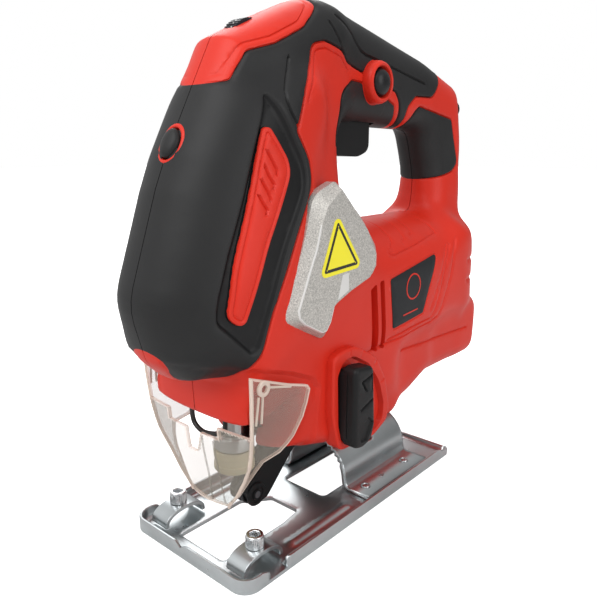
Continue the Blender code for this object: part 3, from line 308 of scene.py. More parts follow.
def relief(points):
    """Small forms that lie on the casing's face: seams, channels, grooves and vents."""
    lift = np.zeros(len(points))
    in_soft = np.zeros(len(points), bool)
    for name in SOFT:
        depth = depth_in(points, LOOPS[name])
        in_soft |= depth > 0
        apart = np.abs(depth)
        lift += -0.9 * (1 - smooth(0.1, 0.3, apart)) - 0.35 * (1 - smooth(0.25, 1.3, apart))
    lift += np.where(in_soft, PADS_UP, 0)
    channel = depth_in(points, LOOPS["channel"])
    inlay = depth_in(points, LOOPS["inlay"])
    lift -= 2.3 * smooth(0, 2.6, channel)
    lift += 2.0 * smooth(-0.15, 0.15, inlay)
    lift += np.where(inlay > 0, valley(inlay - 2.0, 0.9, 0.5) - 0.3 * (1 - smooth(0, 0.8, inlay)), 0)
    cap = depth_in(points, LOOPS["soft_grip"])
    at_cap = (points[:, 1] > 196) & (points[:, 0] < 22) & (cap < 0)
    lift += np.where(at_cap, valley(cap + CAP_GROOVE, 1.2, 0.9), 0)
    for name, line in LINES.items():
        width, deep = GROOVES.get(name.split("_")[0], PLAIN_GROOVE)
        near = distance(points, line, closed=False)
        lift += np.where(near < 4, valley(near, width, deep), 0)
    below = inside(points, [*CHEEK, (-90, 30), (-90, 99)])
    lift -= np.where(below, 1.6 * smooth(0, 2.2, distance(points, CHEEK, closed=False)), 0)
    badge = depth_in(points, LOOPS["badge"])
    lift -= 0.5 * smooth(*BADGE_EDGE, badge)
    lift -= 0.25 * (1 - smooth(0.1, 0.6, np.abs(depth_in(points, LOOPS["side_plate"]) + 0.6)))
    for loop in SLOTS.values():
        lift -= 3.5 * smooth(*SLOT_EDGE, depth_in(points, rounded(loop)))
    return lift


def openings(points):
    """Half width of the openings that run through both halves along the seam plane."""
    y, z = points.T
    free = [4.4 * (1 - smooth(*DIAL_BORE, np.hypot(y - DIAL[0], z - DIAL[1])))]
    for low_y, high_y, low_z, high_z, half, _ in WINDOWS:
        free.append(smooth(low_y, low_y + RAMP, y) * (1 - smooth(high_y - RAMP, high_y, y))
                    * smooth(low_z, low_z + RAMP, z) * (1 - smooth(high_z - RAMP, high_z, z)) * half)
    port = np.sqrt(np.clip(PORT_RADIUS ** 2 - (z - PORT_Z) ** 2, 0, None))
    free.append(np.where(y > PORT_FROM_Y, port, 0))
    by, bz = y - NOSE_BUTTON[0], z - NOSE_BUTTON[1]
    along = by * math.cos(NOSE_TILT) - bz * math.sin(NOSE_TILT)
    aside = bz * math.cos(NOSE_TILT) + by * math.sin(NOSE_TILT)
    oval = BUTTON_BORE[0] * np.sqrt(np.clip(1 - (aside / BUTTON_BORE[1]) ** 2, 0, None))
    free.append(np.where(along < 12, oval, 0))
    gy, gz = y - GLAND[0], z - GLAND[1]
    aside = gz * math.cos(GLAND_TILT) - gy * math.sin(GLAND_TILT)
    bore = np.sqrt(np.clip(GLAND_BORE ** 2 - aside ** 2, 0, None))
    free.append(np.where((gy > -10) & (gz > -12), bore, 0))
    return np.max(free, axis=0)


# ---- meshes

def mesh_object(name, verts, faces, mats, sharp=None):
    """Mesh from millimetre points; mats names its materials, with a space between them."""
    mesh = bpy.data.meshes.new(name)
    mesh.from_pydata([tuple(MM * float(c) for c in v) for v in verts], [], faces)
    mesh.validate()
    for key in mats.split():
        mesh.materials.append(MATS[key])
    if sharp is not None:
        mesh.shade_smooth()
        mesh.set_sharp_from_angle(angle=math.radians(sharp))
    obj = bpy.data.objects.new(name, mesh)
    bpy.context.scene.collection.objects.link(obj)
    return obj


def place(obj, body, *nodes):
    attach(obj, body)
    if nodes:
        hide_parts(*nodes)
    return obj


def mend(obj, fill=False, recalc=True):
    """Closes open edges and turns the faces outward."""
    bm = bmesh.new()
    bm.from_mesh(obj.data)
    if fill:
        bmesh.ops.holes_fill(bm, edges=[e for e in bm.edges if e.is_boundary])
    if recalc:
        bmesh.ops.recalc_face_normals(bm, faces=bm.faces)
    bm.to_mesh(obj.data)
    bm.free()
    return obj


def bevel(obj, width, segments=2, angle=35):
    mod = obj.modifiers.new("bevel", "BEVEL")
    mod.width = width * MM
    mod.segments = segments
    mod.limit_method = "ANGLE"
    mod.angle_limit = math.radians(angle)
    mod.harden_normals = True
    return obj


def solidify(obj, thickness):
    mod = obj.modifiers.new("solidify", "SOLIDIFY")
    mod.thickness = thickness * MM
    mod.offset = 0.0
    mod.use_even_offset = True
    return obj


def triangulate(loops, lines=(), spacing=None, clear=0.7):
    """Triangles over the first loop, following every loop and every open line."""
    points, edges = [], []
    for loop in loops:
        first = len(points)
        points += [tuple(p) for p in loop]
        edges += [(first + i, first + (i + 1) % len(loop)) for i in range(len(loop))]
    for line in lines:
        first = len(points)
        points += [tuple(p) for p in line]
        edges += [(first + i, first + i + 1) for i in range(len(line) - 1)]
    if spacing:
        low, high = loops[0].min(axis=0), loops[0].max(axis=0)
        rows = np.arange(low[1], high[1], spacing * 0.87)
        grid = np.array([(a + (r % 2) * spacing / 2, b) for r, b in enumerate(rows)
                         for a in np.arange(low[0], high[0], spacing)])
        grid = grid[inside(grid, loops[0])]
        drawn = np.array(points)
        keep = []
        for part in np.array_split(grid, max(1, len(grid) // 2000)):
            apart = ((part[:, None] - drawn[None]) ** 2).sum(axis=2).min(axis=1)
            keep.append(part[apart > clear ** 2])
        points += [tuple(p) for p in np.concatenate(keep)]
    flat = geometry.delaunay_2d_cdt([Vector(p) for p in points], edges, [], 0, 1e-5)
    return np.array([tuple(v) for v in flat[0]]), np.array([f for f in flat[2]])


def keep_inside(verts, faces, outer, holes=()):
    middle = verts[faces].mean(axis=1)
    mask = inside(middle, outer)
    for hole in holes:
        mask &= ~inside(middle, hole)
    return faces[mask]


def closed_sheet(faces, size):
    """The points that faces use, and the faces and side walls of a closed sheet over them."""
    used = np.unique(faces)
    count = len(used)
    index = np.full(size, -1)
    index[used] = np.arange(count)
    face = index[faces]
    edges = {edge: True for a, b, c in face.tolist() for edge in ((a, b), (b, c), (c, a))}
    walls = [[b, a, a + count, b + count] for a, b in edges if (b, a) not in edges]
    return used, face.tolist() + (face[:, ::-1] + count).tolist(), walls


def slab(name, verts, faces, high, low, mats, side=1, axis="X", sharp=32.0):
    """Closed solid between two heights over a triangulated region."""
    used, sheet, walls = closed_sheet(faces, len(verts))
    plane = verts[used]
    points = []
    for height in (high, low):
        level = np.broadcast_to(height, len(verts))[used]
        points.append(np.column_stack([side * level, plane] if axis == "X" else [plane, level]))
    result = sheet + walls
    if side < 0:
        result = [f[::-1] for f in result]
    return mesh_object(name, np.concatenate(points), result, mats, sharp)


def prism(name, outer, low, high, mats, axis="X", holes=()):
    loops = [np.array(loop) for loop in (outer, *holes)]
    verts, faces = triangulate(loops)
    faces = keep_inside(verts, faces, loops[0], loops[1:])
    return slab(name, verts, faces, high, low, mats, 1, axis)


def turned(name, profile, centre, mats, axis="X", sides=48, sharp=35):
    """Solid of revolution about X or Z; profile is (radius, place along the axis)."""
    turns = [2 * math.pi * k / sides for k in range(sides)]
    turns = [(math.cos(turn), math.sin(turn)) for turn in turns]
    points, result, rings = [], [], []
    for radius, along in profile:
        ring = turns if radius else [(0.0, 0.0)]
        rings.append(list(range(len(points), len(points) + len(ring))))
        points += [(centre[0] + radius * cos, centre[1] + radius * sin, along) for cos, sin in ring]
    for lower, upper in zip(rings, rings[1:]):
        for k in range(sides):
            n = (k + 1) % sides
            if len(lower) == 1:
                result.append((lower[0], upper[n], upper[k]))
            elif len(upper) == 1:
                result.append((lower[k], lower[n], upper[0]))
            else:
                result.append((lower[k], lower[n], upper[n], upper[k]))
    if axis == "X":
        points = [(along, a, b) for a, b, along in points]
    return mesh_object(name, points, result, mats, sharp)


def grid_mesh(name, rows, mats, sharp=None, closed=False):
    """Sheet from rows of points; closed joins the last column to the first."""
    wide = len(rows[0])
    points = [p for row in rows for p in row]
    faces = []
    for r in range(len(rows) - 1):
        for c in range(wide if closed else wide - 1):
            n = (c + 1) % wide
            faces.append((r * wide + c, r * wide + n, (r + 1) * wide + n, (r + 1) * wide + c))
    return mesh_object(name, points, faces, mats, sharp)


def tube_curve(name, path, radius, mats):
    curve = bpy.data.curves.new(name, "CURVE")
    curve.dimensions = "3D"
    curve.bevel_depth = radius * MM
    curve.bevel_resolution = 5
    curve.use_fill_caps = True
    spline = curve.splines.new("NURBS")
    spline.points.add(len(path) - 1)
    for point, where in zip(spline.points, path):
        point.co = (*[MM * c for c in where], 1)
    spline.order_u = 3
    spline.use_endpoint_u = True
    spline.resolution_u = 8
    curve.materials.append(MATS[mats])
    obj = bpy.data.objects.new(name, curve)
    bpy.context.scene.collection.objects.link(obj)
    return obj


# ---- materials

class Paint:
    """One Principled material with helpers for its procedural detail."""

    def __init__(self, name, color, rough, metal=0.0, **sockets):
        self.mat = bpy.data.materials.new(name)
        self.mat.use_nodes = True
        self.nodes, self.links = self.mat.node_tree.nodes, self.mat.node_tree.links
        self.shader = self.nodes["Principled BSDF"].inputs
        self.shader["Base Color"].default_value = (*color, 1)
        self.shader["Roughness"].default_value = rough
        self.shader["Metallic"].default_value = metal
        for key, value in sockets.items():
            self.shader[key.replace("_", " ")].default_value = value
        self.space = self.nodes.new("ShaderNodeTexCoord").outputs["Object"]

    def node(self, kind, source, socket, **values):
        """New node fed by source; its other inputs are set from values."""
        node = self.nodes.new("ShaderNode" + kind)
        for key, value in values.items():
            node.inputs[key.replace("_", " ")].default_value = value
        self.links.new(source, node.inputs[socket])
        return node

    def stretched(self, scale):
        return self.node("Mapping", self.space, "Vector", Scale=scale).outputs["Vector"]

    def noise(self, scale, detail=3.0, where=None, roughness=0.5):
        return self.node("TexNoise", where or self.space, "Vector", Scale=scale, Detail=detail,
                         Roughness=roughness).outputs["Fac"]

    def tint(self, value, low, high):
        node = self.node("ValToRGB", value, "Fac")
        for element, at, color in zip(node.color_ramp.elements, (0.3, 0.7), (low, high)):
            element.position = at
            element.color = (*color, 1)
        self.links.new(node.outputs["Color"], self.shader["Base Color"])

    def shine(self, value, low, high):
        node = self.node("MapRange", value, "Value", To_Min=low, To_Max=high)
        self.links.new(node.outputs["Result"], self.shader["Roughness"])

    def bump(self, value, strength, distance=0.0001):
        node = self.node("Bump", value, "Height", Strength=strength, Distance=distance)
        self.links.new(node.outputs["Normal"], self.shader["Normal"])


def shade(color, factor):
    return tuple(min(1.0, c * factor) for c in color)


def plastic(name, color, rough, grain, strength, spread, specular):
    paint = Paint(name, color, rough, Specular_IOR_Level=specular)
    paint.tint(paint.noise(22.0, 4.0), shade(color, 1 - spread), shade(color, 1 + spread))
    paint.shine(paint.noise(60.0, 5.0), rough - 0.06, rough + 0.08)
    paint.bump(paint.noise(grain, 2.0), strength, 0.00006)
    return paint


def metal(name, color, low, high, stretch, bump):
    paint = Paint(name, color, low, 1.0)
    brushed = paint.noise(1.0, 4.0, paint.stretched(stretch))
    paint.tint(paint.noise(35.0, 5.0), shade(color, 0.86), shade(color, 1.1))
    paint.shine(paint.noise(45.0, 6.0), low, high)
    paint.bump(brushed, bump, 0.00005)
    return paint


# key: (name, colour, roughness, grain, bump, spread of the colour, specular level)
PLASTICS = {
    "red": ("red_casing", (0.63, 0.026, 0.012), 0.40, 1900, 0.32, 0.05, 0.24),
    "black": ("black_soft_grip", (0.016, 0.016, 0.0165), 0.5, 2600, 0.45, 0.18, 0.26),
    # also laid on the recessed floor of the grip's channel, where its darkness is painted shade
    "dark": ("dark_plastic", (0.009, 0.009, 0.0095), 0.42, 1500, 0.35, 0.2, 0.22),
    "charcoal": ("charcoal_plate", (0.018, 0.019, 0.021), 0.5, 1500, 0.12, 0.08, 0.2),
    "yellow": ("yellow_label", (0.90, 0.80, 0.02), 0.38, 900, 0.05, 0.03, 0.5),
    "ink": ("label_ink", (0.012, 0.011, 0.008), 0.42, 900, 0.05, 0.1, 0.5),
    "amber": ("amber_nylon", (0.56, 0.49, 0.30), 0.42, 900, 0.15, 0.08, 0.5),
    "wire": ("blackened_wire", (0.016, 0.015, 0.014), 0.34, 900, 0.1, 0.06, 0.5),
    "satin": ("satin_black_button", (0.010, 0.010, 0.011), 0.34, 1500, 0.12, 0.15, 0.3),
    "dial": ("dial_plastic", (0.012, 0.013, 0.018), 0.3, 1500, 0.15, 0.2, 0.3),
    "pale": ("pale_mark", (0.7, 0.7, 0.68), 0.45, 1500, 0.05, 0.05, 0.5),
    # pale, part-metal colour on the side plate's lit edges and glint wedge: a painted highlight
    "silver_edge": ("silver_edge", (0.72, 0.71, 0.69), 0.3, 1500, 0.1, 0.04, 0.5),
}
BRUSHED = (60, 900, 900)
ZINC = (0.52, 0.55, 0.56)
# key: (name, colour, lowest and highest roughness, stretch of the grain, bump)
METALS = {
    "zinc": ("zinc_steel", ZINC, 0.2, 0.4, (900, 60, 900), 0.12),
    "steel": ("ground_steel", (0.52, 0.52, 0.51), 0.2, 0.4, (900, 900, 60), 0.12),
    "bright": ("bright_steel", (0.74, 0.75, 0.76), 0.12, 0.3, (600, 600, 600), 0.12),
    "cast": ("cast_aluminium", (0.50, 0.51, 0.52), 0.45, 0.6, (900, 900, 900), 0.5),
    "iron": ("laminated_iron", (0.16, 0.16, 0.17), 0.4, 0.6, (40, 3000, 40), 0.6),
    "copper": ("copper_winding", (0.60, 0.26, 0.11), 0.3, 0.45, (900, 60, 900), 0.6),
    "brass": ("brass", (0.66, 0.48, 0.19), 0.28, 0.42, BRUSHED, 0.12),
    "bronze": ("sintered_bronze", (0.46, 0.31, 0.14), 0.45, 0.6, (2000, 2000, 2000), 0.5),
    "zinc_arch": ("zinc_arch", ZINC, 0.2, 0.4, (60, 900, 60), 0.3),
    "dark_steel": ("blackened_steel", (0.055, 0.055, 0.058), 0.3, 0.5, BRUSHED, 0.12),
}


def make_materials():
    mats = {key: plastic(*row) for key, row in PLASTICS.items()}
    mats.update({key: metal(*row) for key, row in METALS.items()})
    mats["silver_edge"].shader["Metallic"].default_value = 0.3
    mats["silver"] = silver_paint()
    mats["clear"], mats["clear_edge"] = clear_plastic()
    return {key: paint.mat for key, paint in mats.items()}


def silver_paint():
    paint = Paint("silver_paint", (0.42, 0.41, 0.40), 0.42, 0.55)
    paint.tint(paint.noise(1900.0, 3.0, roughness=0.8), (0.26, 0.25, 0.232), (0.80, 0.77, 0.72))
    paint.shine(paint.noise(1800.0, 2.0), 0.36, 0.52)
    paint.bump(paint.noise(2600.0, 3.0), 0.25, 0.00006)
    return paint


def clear_plastic():
    body = Paint("clear_guard", (0.36, 0.33, 0.28), 0.12, Alpha=0.32, Specular_IOR_Level=0.6)
    body.shine(body.noise(50.0, 5.0), 0.05, 0.22)
    body.bump(body.noise(160.0, 3.0), 0.12, 0.0004)
    # paler, more opaque colour on the guard's rims, walls, bosses, ribs and corners: painted highlight on the
    # clear plastic's edges
    edge = Paint("clear_guard_painted_highlight", (0.84, 0.70, 0.60), 0.2, Alpha=0.66, Specular_IOR_Level=0.7)
    edge.bump(edge.noise(300.0, 3.0), 0.1, 0.0002)
    return body, edge


MATS = make_materials()


# ---- casing halves

def across(path):
    """Unit vectors at right angles to an open path."""
    ahead = np.gradient(path, axis=0)
    ahead /= np.linalg.norm(ahead, axis=1)[:, None]
    return np.stack([-ahead[:, 1], ahead[:, 0]], 1)


def offset_line(line, gap):
    line = resample(line, 1.6, closed=False)
    return line + across(line) * gap


def casing_plane(casing):
    """The triangulation that both halves share."""
    loops = [casing.outline, casing.fingers]
    for gap in (0.09, 0.4, 0.95, 1.8, 2.9):
        loops += [inset(casing.outline, gap), inset(casing.fingers, -gap)]
    bands = [(LOOPS[name], (-1.3, -0.6, -0.15, 0.0, 0.15, 0.6, 1.3)) for name in SOFT]
    bands += [(LOOPS["soft_grip"], [gap - CAP_GROOVE for gap in (-0.6, 0.0, 0.6)]),
              (LOOPS["channel"], (0, 0.6, 1.2, 1.9, 2.6)),
              (LOOPS["inlay"], (-0.15, 0.0, 0.15, 0.8, 1.6, 2.0, 2.4)),
              (LOOPS["side_plate"], (-0.6,)), (LOOPS["badge"], BADGE_EDGE)]
    bands += [(resample(rounded(loop), 2.0), SLOT_EDGE) for loop in SLOTS.values()]
    loops += [inset(loop, gap) for loop, gaps in bands for gap in gaps]
    loops += [LOCK_BORE, LOCK_EDGE, KNOB_BORE]
    loops += [circle(DIAL, r, 48) for r in DIAL_BORE]
    loops += [circle((y, z), r, 20) for y, z, _ in SCREWS for r in WELL_BORE]
    lines = [offset_line(line, gap) for line in LINES.values() for gap in (-0.8, -0.35, 0.0, 0.35, 0.8)]
    lines += [offset_line(CHEEK, gap) for gap in (-2.2, -1.1, 0.0)]
    for low_y, high_y, _, high_z, _, low_z in WINDOWS:
        window = resample([(low_y, low_z), (high_y, low_z), (high_y, high_z), (low_y, high_z)], 3.0)
        loops += [window, inset(window, RAMP)]
    verts, faces = triangulate(loops, lines, 1.7, 0.75)
    return verts, keep_inside(verts, faces, casing.outline, [casing.fingers])


def make_casing():
    casing = Casing()
    verts, faces = casing_plane(casing)
    prepared = casing.prepare(verts)
    middle = verts[faces].mean(axis=1)
    clear = ~inside(middle, LOCK_EDGE)
    soft = {name: inside(middle, LOOPS[name]) & clear for name in SOFT}
    any_soft = np.any(list(soft.values()), axis=0)
    # the channel's recessed floor takes the darker plastic: painted shade in the recess, with a slightly
    # glossier finish
    floor = inside(middle, inset(LOOPS["channel"], 1.2))
    is_inlay = inside(middle, LOOPS["inlay"])
    for side, suffix in SIDES:
        top = casing.face(prepared) + relief(verts) * smooth(0.0, 1.2, prepared[2])
        top = np.maximum(top, SEAM + 0.3)
        free = openings(verts)
        if side < 0:
            for y, z, head in SCREWS:
                well = 1 - smooth(*WELL_BORE, np.hypot(verts[:, 0] - y, verts[:, 1] - z))
                top = top * (1 - well) + np.minimum(top, head - 0.4) * well
        low = np.maximum(np.maximum(casing.face(prepared, SKIN), SEAM), free)
        low = np.minimum(low, np.maximum(top - THINNEST, SEAM))
        gone = (np.maximum(free[faces], 0) > top[faces] - THINNEST).all(axis=1)
        if side > 0:
            gone |= inside(middle, LOCK_BORE) | inside(middle, KNOB_BORE)
        keep = ~gone
        red = slab(f"casing_{suffix}", verts, faces[keep & ~any_soft], top, low, "red", side)
        place(red, "casing", f"housing_{suffix}")
        for name in SOFT:
            region = keep & soft[name] & ~is_inlay
            piece = slab(f"{name}_piece_{suffix}", verts, faces[region], top, low, "black dark", side)
            # faces on the channel floor get the darker material, painted shade
            for poly, painted_shade_floor in zip(piece.data.polygons, floor[region]):
                poly.material_index = int(painted_shade_floor)
            place(piece, "casing", f"{name}_{suffix}")
        place(slab(f"inlay_piece_{suffix}", verts, faces[is_inlay], top, low, "red", side),
              "casing", f"inlay_{suffix}")


make_casing()


# ---- plates on the casing

PLATE_FACE = [(-9, 162.4), (-13, 159.3), (-18, 155.6), (-21.6, 148.6), (-24.6, 138.7), (-29.3, 129),
              (-35.7, 114.8), (-35, 111.7), (-31.7, 108.4), (-20.6, 102.4), (-17.9, 102.7),
              (-15.2, 106), (-12.6, 113.2), (-0.5, 117.7), (13, 121.4), (17.6, 126), (17.7, 131.5),
              (10.4, 143.3),
              (-3.3, 157)]
PLATE_BASE, PLATE_RIM, PLATE_TOP = 29.5, 33.4, 37.6
# pale wedge on the plate in the highlight colour: a painted glint
GLINT = [(-7.3, 125.6), (-3, 125.8), (-2.8, 118.1), (-10.5, 115)]


def plate_height(points, outer):
    """Flat face with a wide chamfer down to the outline on the front and lower sides."""
    depth = distance(points, outer)
    apart = np.where(inside(points, PLATE_FACE), 0, distance(points, PLATE_FACE))
    share = depth / np.maximum(depth + apart, 1e-6)
    return PLATE_RIM + (PLATE_TOP - PLATE_RIM) * np.where(apart > 0, share, 1)


def make_side_plates():
    outer = resample(rounded(SIDE_PLATE), 1.5)
    face = resample(PLATE_FACE, 1.5)
    loops = [outer, face, inset(face, -0.45), inset(face, 0.35), resample(GLINT, 1.5)]
    verts, faces = triangulate(loops, (), 2.2, 0.8)
    faces = keep_inside(verts, faces, outer)
    middle = verts[faces].mean(axis=1)
    edge = np.abs(depth_in(middle, face))
    # front and lower edges of the plate face and the glint wedge get the pale colour: painted highlight
    lit = (edge < 0.45) & ((middle[:, 0] < -22) | (middle[:, 1] < 112))
    lit |= inside(middle, GLINT)
    top = plate_height(verts, outer)
    mats = "silver silver_edge"
    for side, suffix in SIDES:
        plate = slab(f"side_plate_{suffix}_piece", verts, faces, top, PLATE_BASE, mats, side)
        for poly, bright in zip(plate.data.polygons, lit):
            poly.material_index = int(bright)
        place(bevel(plate, 0.5, 2, 40), "casing", f"side_plate_{suffix}")


def make_badges():
    outer = np.array(rounded(TRIANGLE))
    layers = (("yellow", 0.0, 0.18), ("ink", 1.7, 0.26), ("yellow", 3.1, 0.34))
    for i, (key, gap, high) in enumerate(layers):
        loop = inset(outer, gap)
        piece = prism(f"triangle_badge_{i}", loop, PLATE_TOP - 0.3, PLATE_TOP + high, key)
        place(piece, "casing", "triangle_badge_left")
    plate = np.array(rounded(BADGE_PLATE))
    verts, faces = triangulate([resample(plate, 3.0), resample(inset(plate, 0.5), 3.0)], (), 4.0, 1.5)
    faces = keep_inside(verts, faces, plate)
    casing = Casing()
    lie = casing.face(casing.prepare(verts))
    top = lie - 0.05 - 0.25 * (1 - smooth(0.0, 0.5, depth_in(verts, plate)))
    piece = slab("badge_plate_piece", verts, faces, top, lie - 1.4, "charcoal")
    place(piece, "casing", "badge_plate_left")
    ring, hole = (circle((61.0, 108.0), radius, 40) for radius in (7.0, 6.2))
    bar = np.array([(52, 93.6), (66, 94.6), (66, 95.3), (52, 94.3)])
    for name, loop, holes in (("badge_ring", ring, [hole]), ("badge_bar", bar, [])):
        verts, faces = triangulate([loop, *holes])
        faces = keep_inside(verts, faces, loop, holes)
        lie = casing.face(casing.prepare(verts))
        piece = slab(name, verts, faces, lie + 0.05, lie - 0.4, "red")
        place(piece, "casing", "badge_plate_left")


make_side_plates()
make_badges()


# ---- knob and its surround

KNOB_RING = [(-11, 88, 8), (-3.5, 89.6, 9), (6, 89.6, 10), (22.5, 80.5, 16), (31.5, 66.5, 20),
             (35.6, 50, 10), (33.5, 43.5, 6), (22.5, 38.6, 8), (-6, 40.5, 6), (-8.5, 50, 12),
             (-11, 60, 20)]
KNOB_PAN = [(-7.5, 78.5, 6), (-3.5, 84.6, 6), (4, 85, 8), (16, 78.2, 14), (25.2, 66.5, 18),
            (29.6, 54, 10), (28.6, 45, 6), (20.5, 41.6, 8), (-3.5, 43.5, 6), (-6.5, 54, 10)]
KNOB_BAR = [(-5.2, 44, 6), (-5.2, 83.4, 3.2), (9.2, 81.4, 4), (11.2, 51.5, 6), (8.6, 44, 6),
            (2, 42.2, 8)]
KNOB_SKIRT = [(-6.2, 46, 6), (-6.2, 82, 3), (9.6, 80, 4), (11.6, 51, 6), (8.4, 43.2, 6),
              (1.8, 41.6, 8)]
KNOB_ARROW = [(-1.4, 53.6), (5.6, 56.6), (9.4, 53.2), (4.6, 45.6), (0.2, 46.0)]
KNOB_MARKS = [[(0.6, 75.2), (7.8, 77.0)], [(7.8, 77.0), (8.2, 70.4)], [(0.4, 62.0), (8.4, 64.6)],
              [(0.6, 75.2), (3.0, 71.0)]]
KNOB_HOLE = circle(KNOB, 4.4, 24)


def dome(points, outer, width, rise):
    """Quarter-round rise from an outline's edge, over the given width."""
    fall = 1 - np.clip(depth_in(points, outer) / width, 0, 1)
    return rise * (np.sqrt(np.clip(1 - fall ** 2, 0, 1)) - 1)


def make_knob_ring():
    """Raised red boss with a dished floor that the pendulum knob turns in."""
    outer, pan = resample(rounded(KNOB_RING), 1.6), resample(rounded(KNOB_PAN), 1.6)
    bands = [inset(outer, gap) for gap in (0.12, 0.5, 1.1)]
    bands += [inset(pan, gap) for gap in (-0.5, 0.0, 0.5)]
    ticks = [[(10.5, 83.6), (12.2, 86.2)], [(20.8, 76.4), (23.2, 78.2)], [(27.6, 66.0), (30.2, 67.0)],
             [(1.8, 86.0), (1.8, 88.6)]]
    lines = [offset_line(tick, gap) for tick in ticks for gap in (-0.4, 0.0, 0.4)]
    verts, faces = triangulate([outer, *bands, KNOB_HOLE], lines, 2.0, 0.7)
    faces = keep_inside(verts, faces, outer, [KNOB_HOLE])
    top = 36.2 + dome(verts, outer, 1.1, 1.0) - 2.6 * smooth(-0.5, 0.5, depth_in(verts, pan))
    for tick in ticks:
        top += valley(distance(verts, tick, closed=False), 0.8, 0.4)
    ring = slab("knob_ring", verts, faces, top, 29.0, "red")
    place(ring, "casing", "housing_left")


def make_knob():
    outer = resample(rounded(KNOB_BAR), 1.2)
    lines = [offset_line(mark, gap) for mark in KNOB_MARKS for gap in (-0.7, -0.35, 0.0, 0.35, 0.7)]
    loops = [outer, *[inset(outer, gap) for gap in (0.15, 0.5, 1.1, 2.0)]]
    loops += [resample(inset(KNOB_ARROW, gap), 1.2) for gap in (-0.4, 0.4)]
    verts, faces = triangulate(loops, lines, 1.5, 0.5)
    faces = keep_inside(verts, faces, outer)
    top = 44.4 + dome(verts, outer, 2.0, 2.0) - 0.9 * smooth(-0.4, 0.4, depth_in(verts, KNOB_ARROW))
    for mark in KNOB_MARKS:
        top += valley(distance(verts, mark, closed=False), 1.4, 1.3)
    skirt = inset(resample(rounded(KNOB_SKIRT), 1.5), 0.6)
    hub = [(0, 33.6), (4.2, 33.6), (4.2, 35.6), (0, 35.6)]
    for piece in (slab("orbital_knob_bar", verts, faces, top, 37.2, "dark"),
                  prism("orbital_knob_skirt", skirt, 34.4, 39.6, "dark"),
                  turned("orbital_knob_hub", hub, KNOB, "dark", "X", 32)):
        place(piece, "pendulum_knob", "orbital_knob")


make_knob_ring()
make_knob()


# ---- buttons, trigger and dial

def make_lock_button():
    collar = [(8.6, 11.0), (10.0, 12.2), (10.15, 16.4), (9.9, 18.8), (9.3, 20.1), (8.4, 20.7),
              (7.6, 20.4), (7.1, 19.5), (7.0, 18.0), (7.0, 11.0), (8.6, 11.0)]
    piece = turned("lock_collar", collar, LOCK, "red", "X", 56, 40)
    place(piece, "casing", "housing_left")
    button = [(0, 10.5), (6.4, 10.5), (6.4, 18.6), (6.15, 19.8), (5.5, 20.8), (4.3, 21.7), (2.5, 22.3),
              (0, 22.5)]
    piece = turned("lock_button_piece", button, LOCK, "satin", "X", 56, 50)
    place(piece, "lock_button", "lock_button")


def nose_frame():
    """Across, up the slope and out of the nose, at the front button."""
    out = Vector((0, -math.cos(NOSE_TILT), math.sin(NOSE_TILT)))
    up = Vector((0, math.sin(NOSE_TILT), math.cos(NOSE_TILT)))
    return Vector((0, *NOSE_BUTTON)), Vector((1, 0, 0)), up, out


def nose_rows(profile, half_a, half_b, sides, bend):
    """Rings round the nose button: profile is (outward from the ellipse, height)."""
    centre, right, up, out = nose_frame()
    rows = []
    for grow, high in profile:
        row = []
        for k in range(sides):
            turn = 2 * math.pi * k / sides
            a, b = (half_a + grow) * math.cos(turn), (half_b + grow) * math.sin(turn)
            row.append(centre + right * a + up * b + out * (high - bend * a * a))
        rows.append([tuple(p) for p in row])
    return rows


def make_nose_button():
    ring = [(0, -3.5), (0, 0.5), (0.2, 0.95), (0.6, 1.15), (1.2, 1.1), (1.7, 0.8), (2, 0.3), (2, -2.5)]
    piece = grid_mesh("nose_button_ring", nose_rows(ring, 5.3, 6.6, 56, 0.012), "red", 50, True)
    place(piece, "casing", "housing_left", "housing_right")
    cap = [(0.0, -6.0), (0.0, 1.3), (-0.2, 1.9), (-0.8, 2.5), (-1.7, 2.9), (-3.0, 3.2), (-4.5, 3.35)]
    piece = grid_mesh("nose_button_cap", nose_rows(cap, 4.7, 6.0, 56, 0.008), "black", 50, True)
    place(mend(piece, fill=True, recalc=False), "front_button", "front_button")


def make_trigger():
    outline = rounded([(25, 201, 2), (53, 201, 2), (53, 177, 5), (44, 174, 12), (25, 175, 3)])
    piece = prism("trigger_piece", outline, -6.6, 6.6, "dark")
    place(bevel(piece, 1.0, 3), "trigger", "trigger")


def toothed(centre, teeth, steps):
    """Closed outline of a toothed wheel; each tooth is (share of its turn, radius) steps."""
    turns = [(2 * math.pi * (k + part) / teeth, radius) for k in range(teeth) for part, radius in steps]
    return [(centre[0] + radius * math.cos(turn), centre[1] + radius * math.sin(turn))
            for turn, radius in turns]


def make_dial():
    """Wheel with fine teeth and a few pale marks on its rim."""
    rim = toothed(DIAL, 44, ((0.0, 10.8), (0.3, 10.8), (0.5, 10.2), (0.8, 10.2)))
    wheel = prism("speed_dial_wheel", rim, -3.5, 3.5, "dial")
    place(wheel, "speed_dial", "speed_dial")
    for k in range(9):
        turn = math.radians(60 + 12 * k)
        middle = (DIAL[0] + 10.7 * math.cos(turn), DIAL[1] + 10.7 * math.sin(turn))
        low = -1.8 + 0.35 * k
        mark = prism(f"dial_mark_{k}", circle(middle, 0.28, 10), low, low + 0.6, "pale")
        place(mark, "speed_dial", "speed_dial")


make_lock_button()
make_nose_button()
make_trigger()
make_dial()


# ---- shoe

SHEET = 2.2
SHOE = [(-39.2, -70.5, 8), (39.2, -70.5, 8), (39.2, 97.5, 3), (-39.2, 97.5, 3)]
BLADE_OPENING = [(-15, -61, 2), (15, -61, 2), (15, -22, 2), (13, -9, 2), (-5, -9, 2), (-15, -22, 2)]
REAR_OPENING = [(-13, 9, 3), (15, 9, 3), (15, 60, 3), (-13, 60, 3)]
ARCH_Z, ARCH_R = 7.5, 20.0
CLAMP_X, CLAMP_Y = 26.5, -52.5


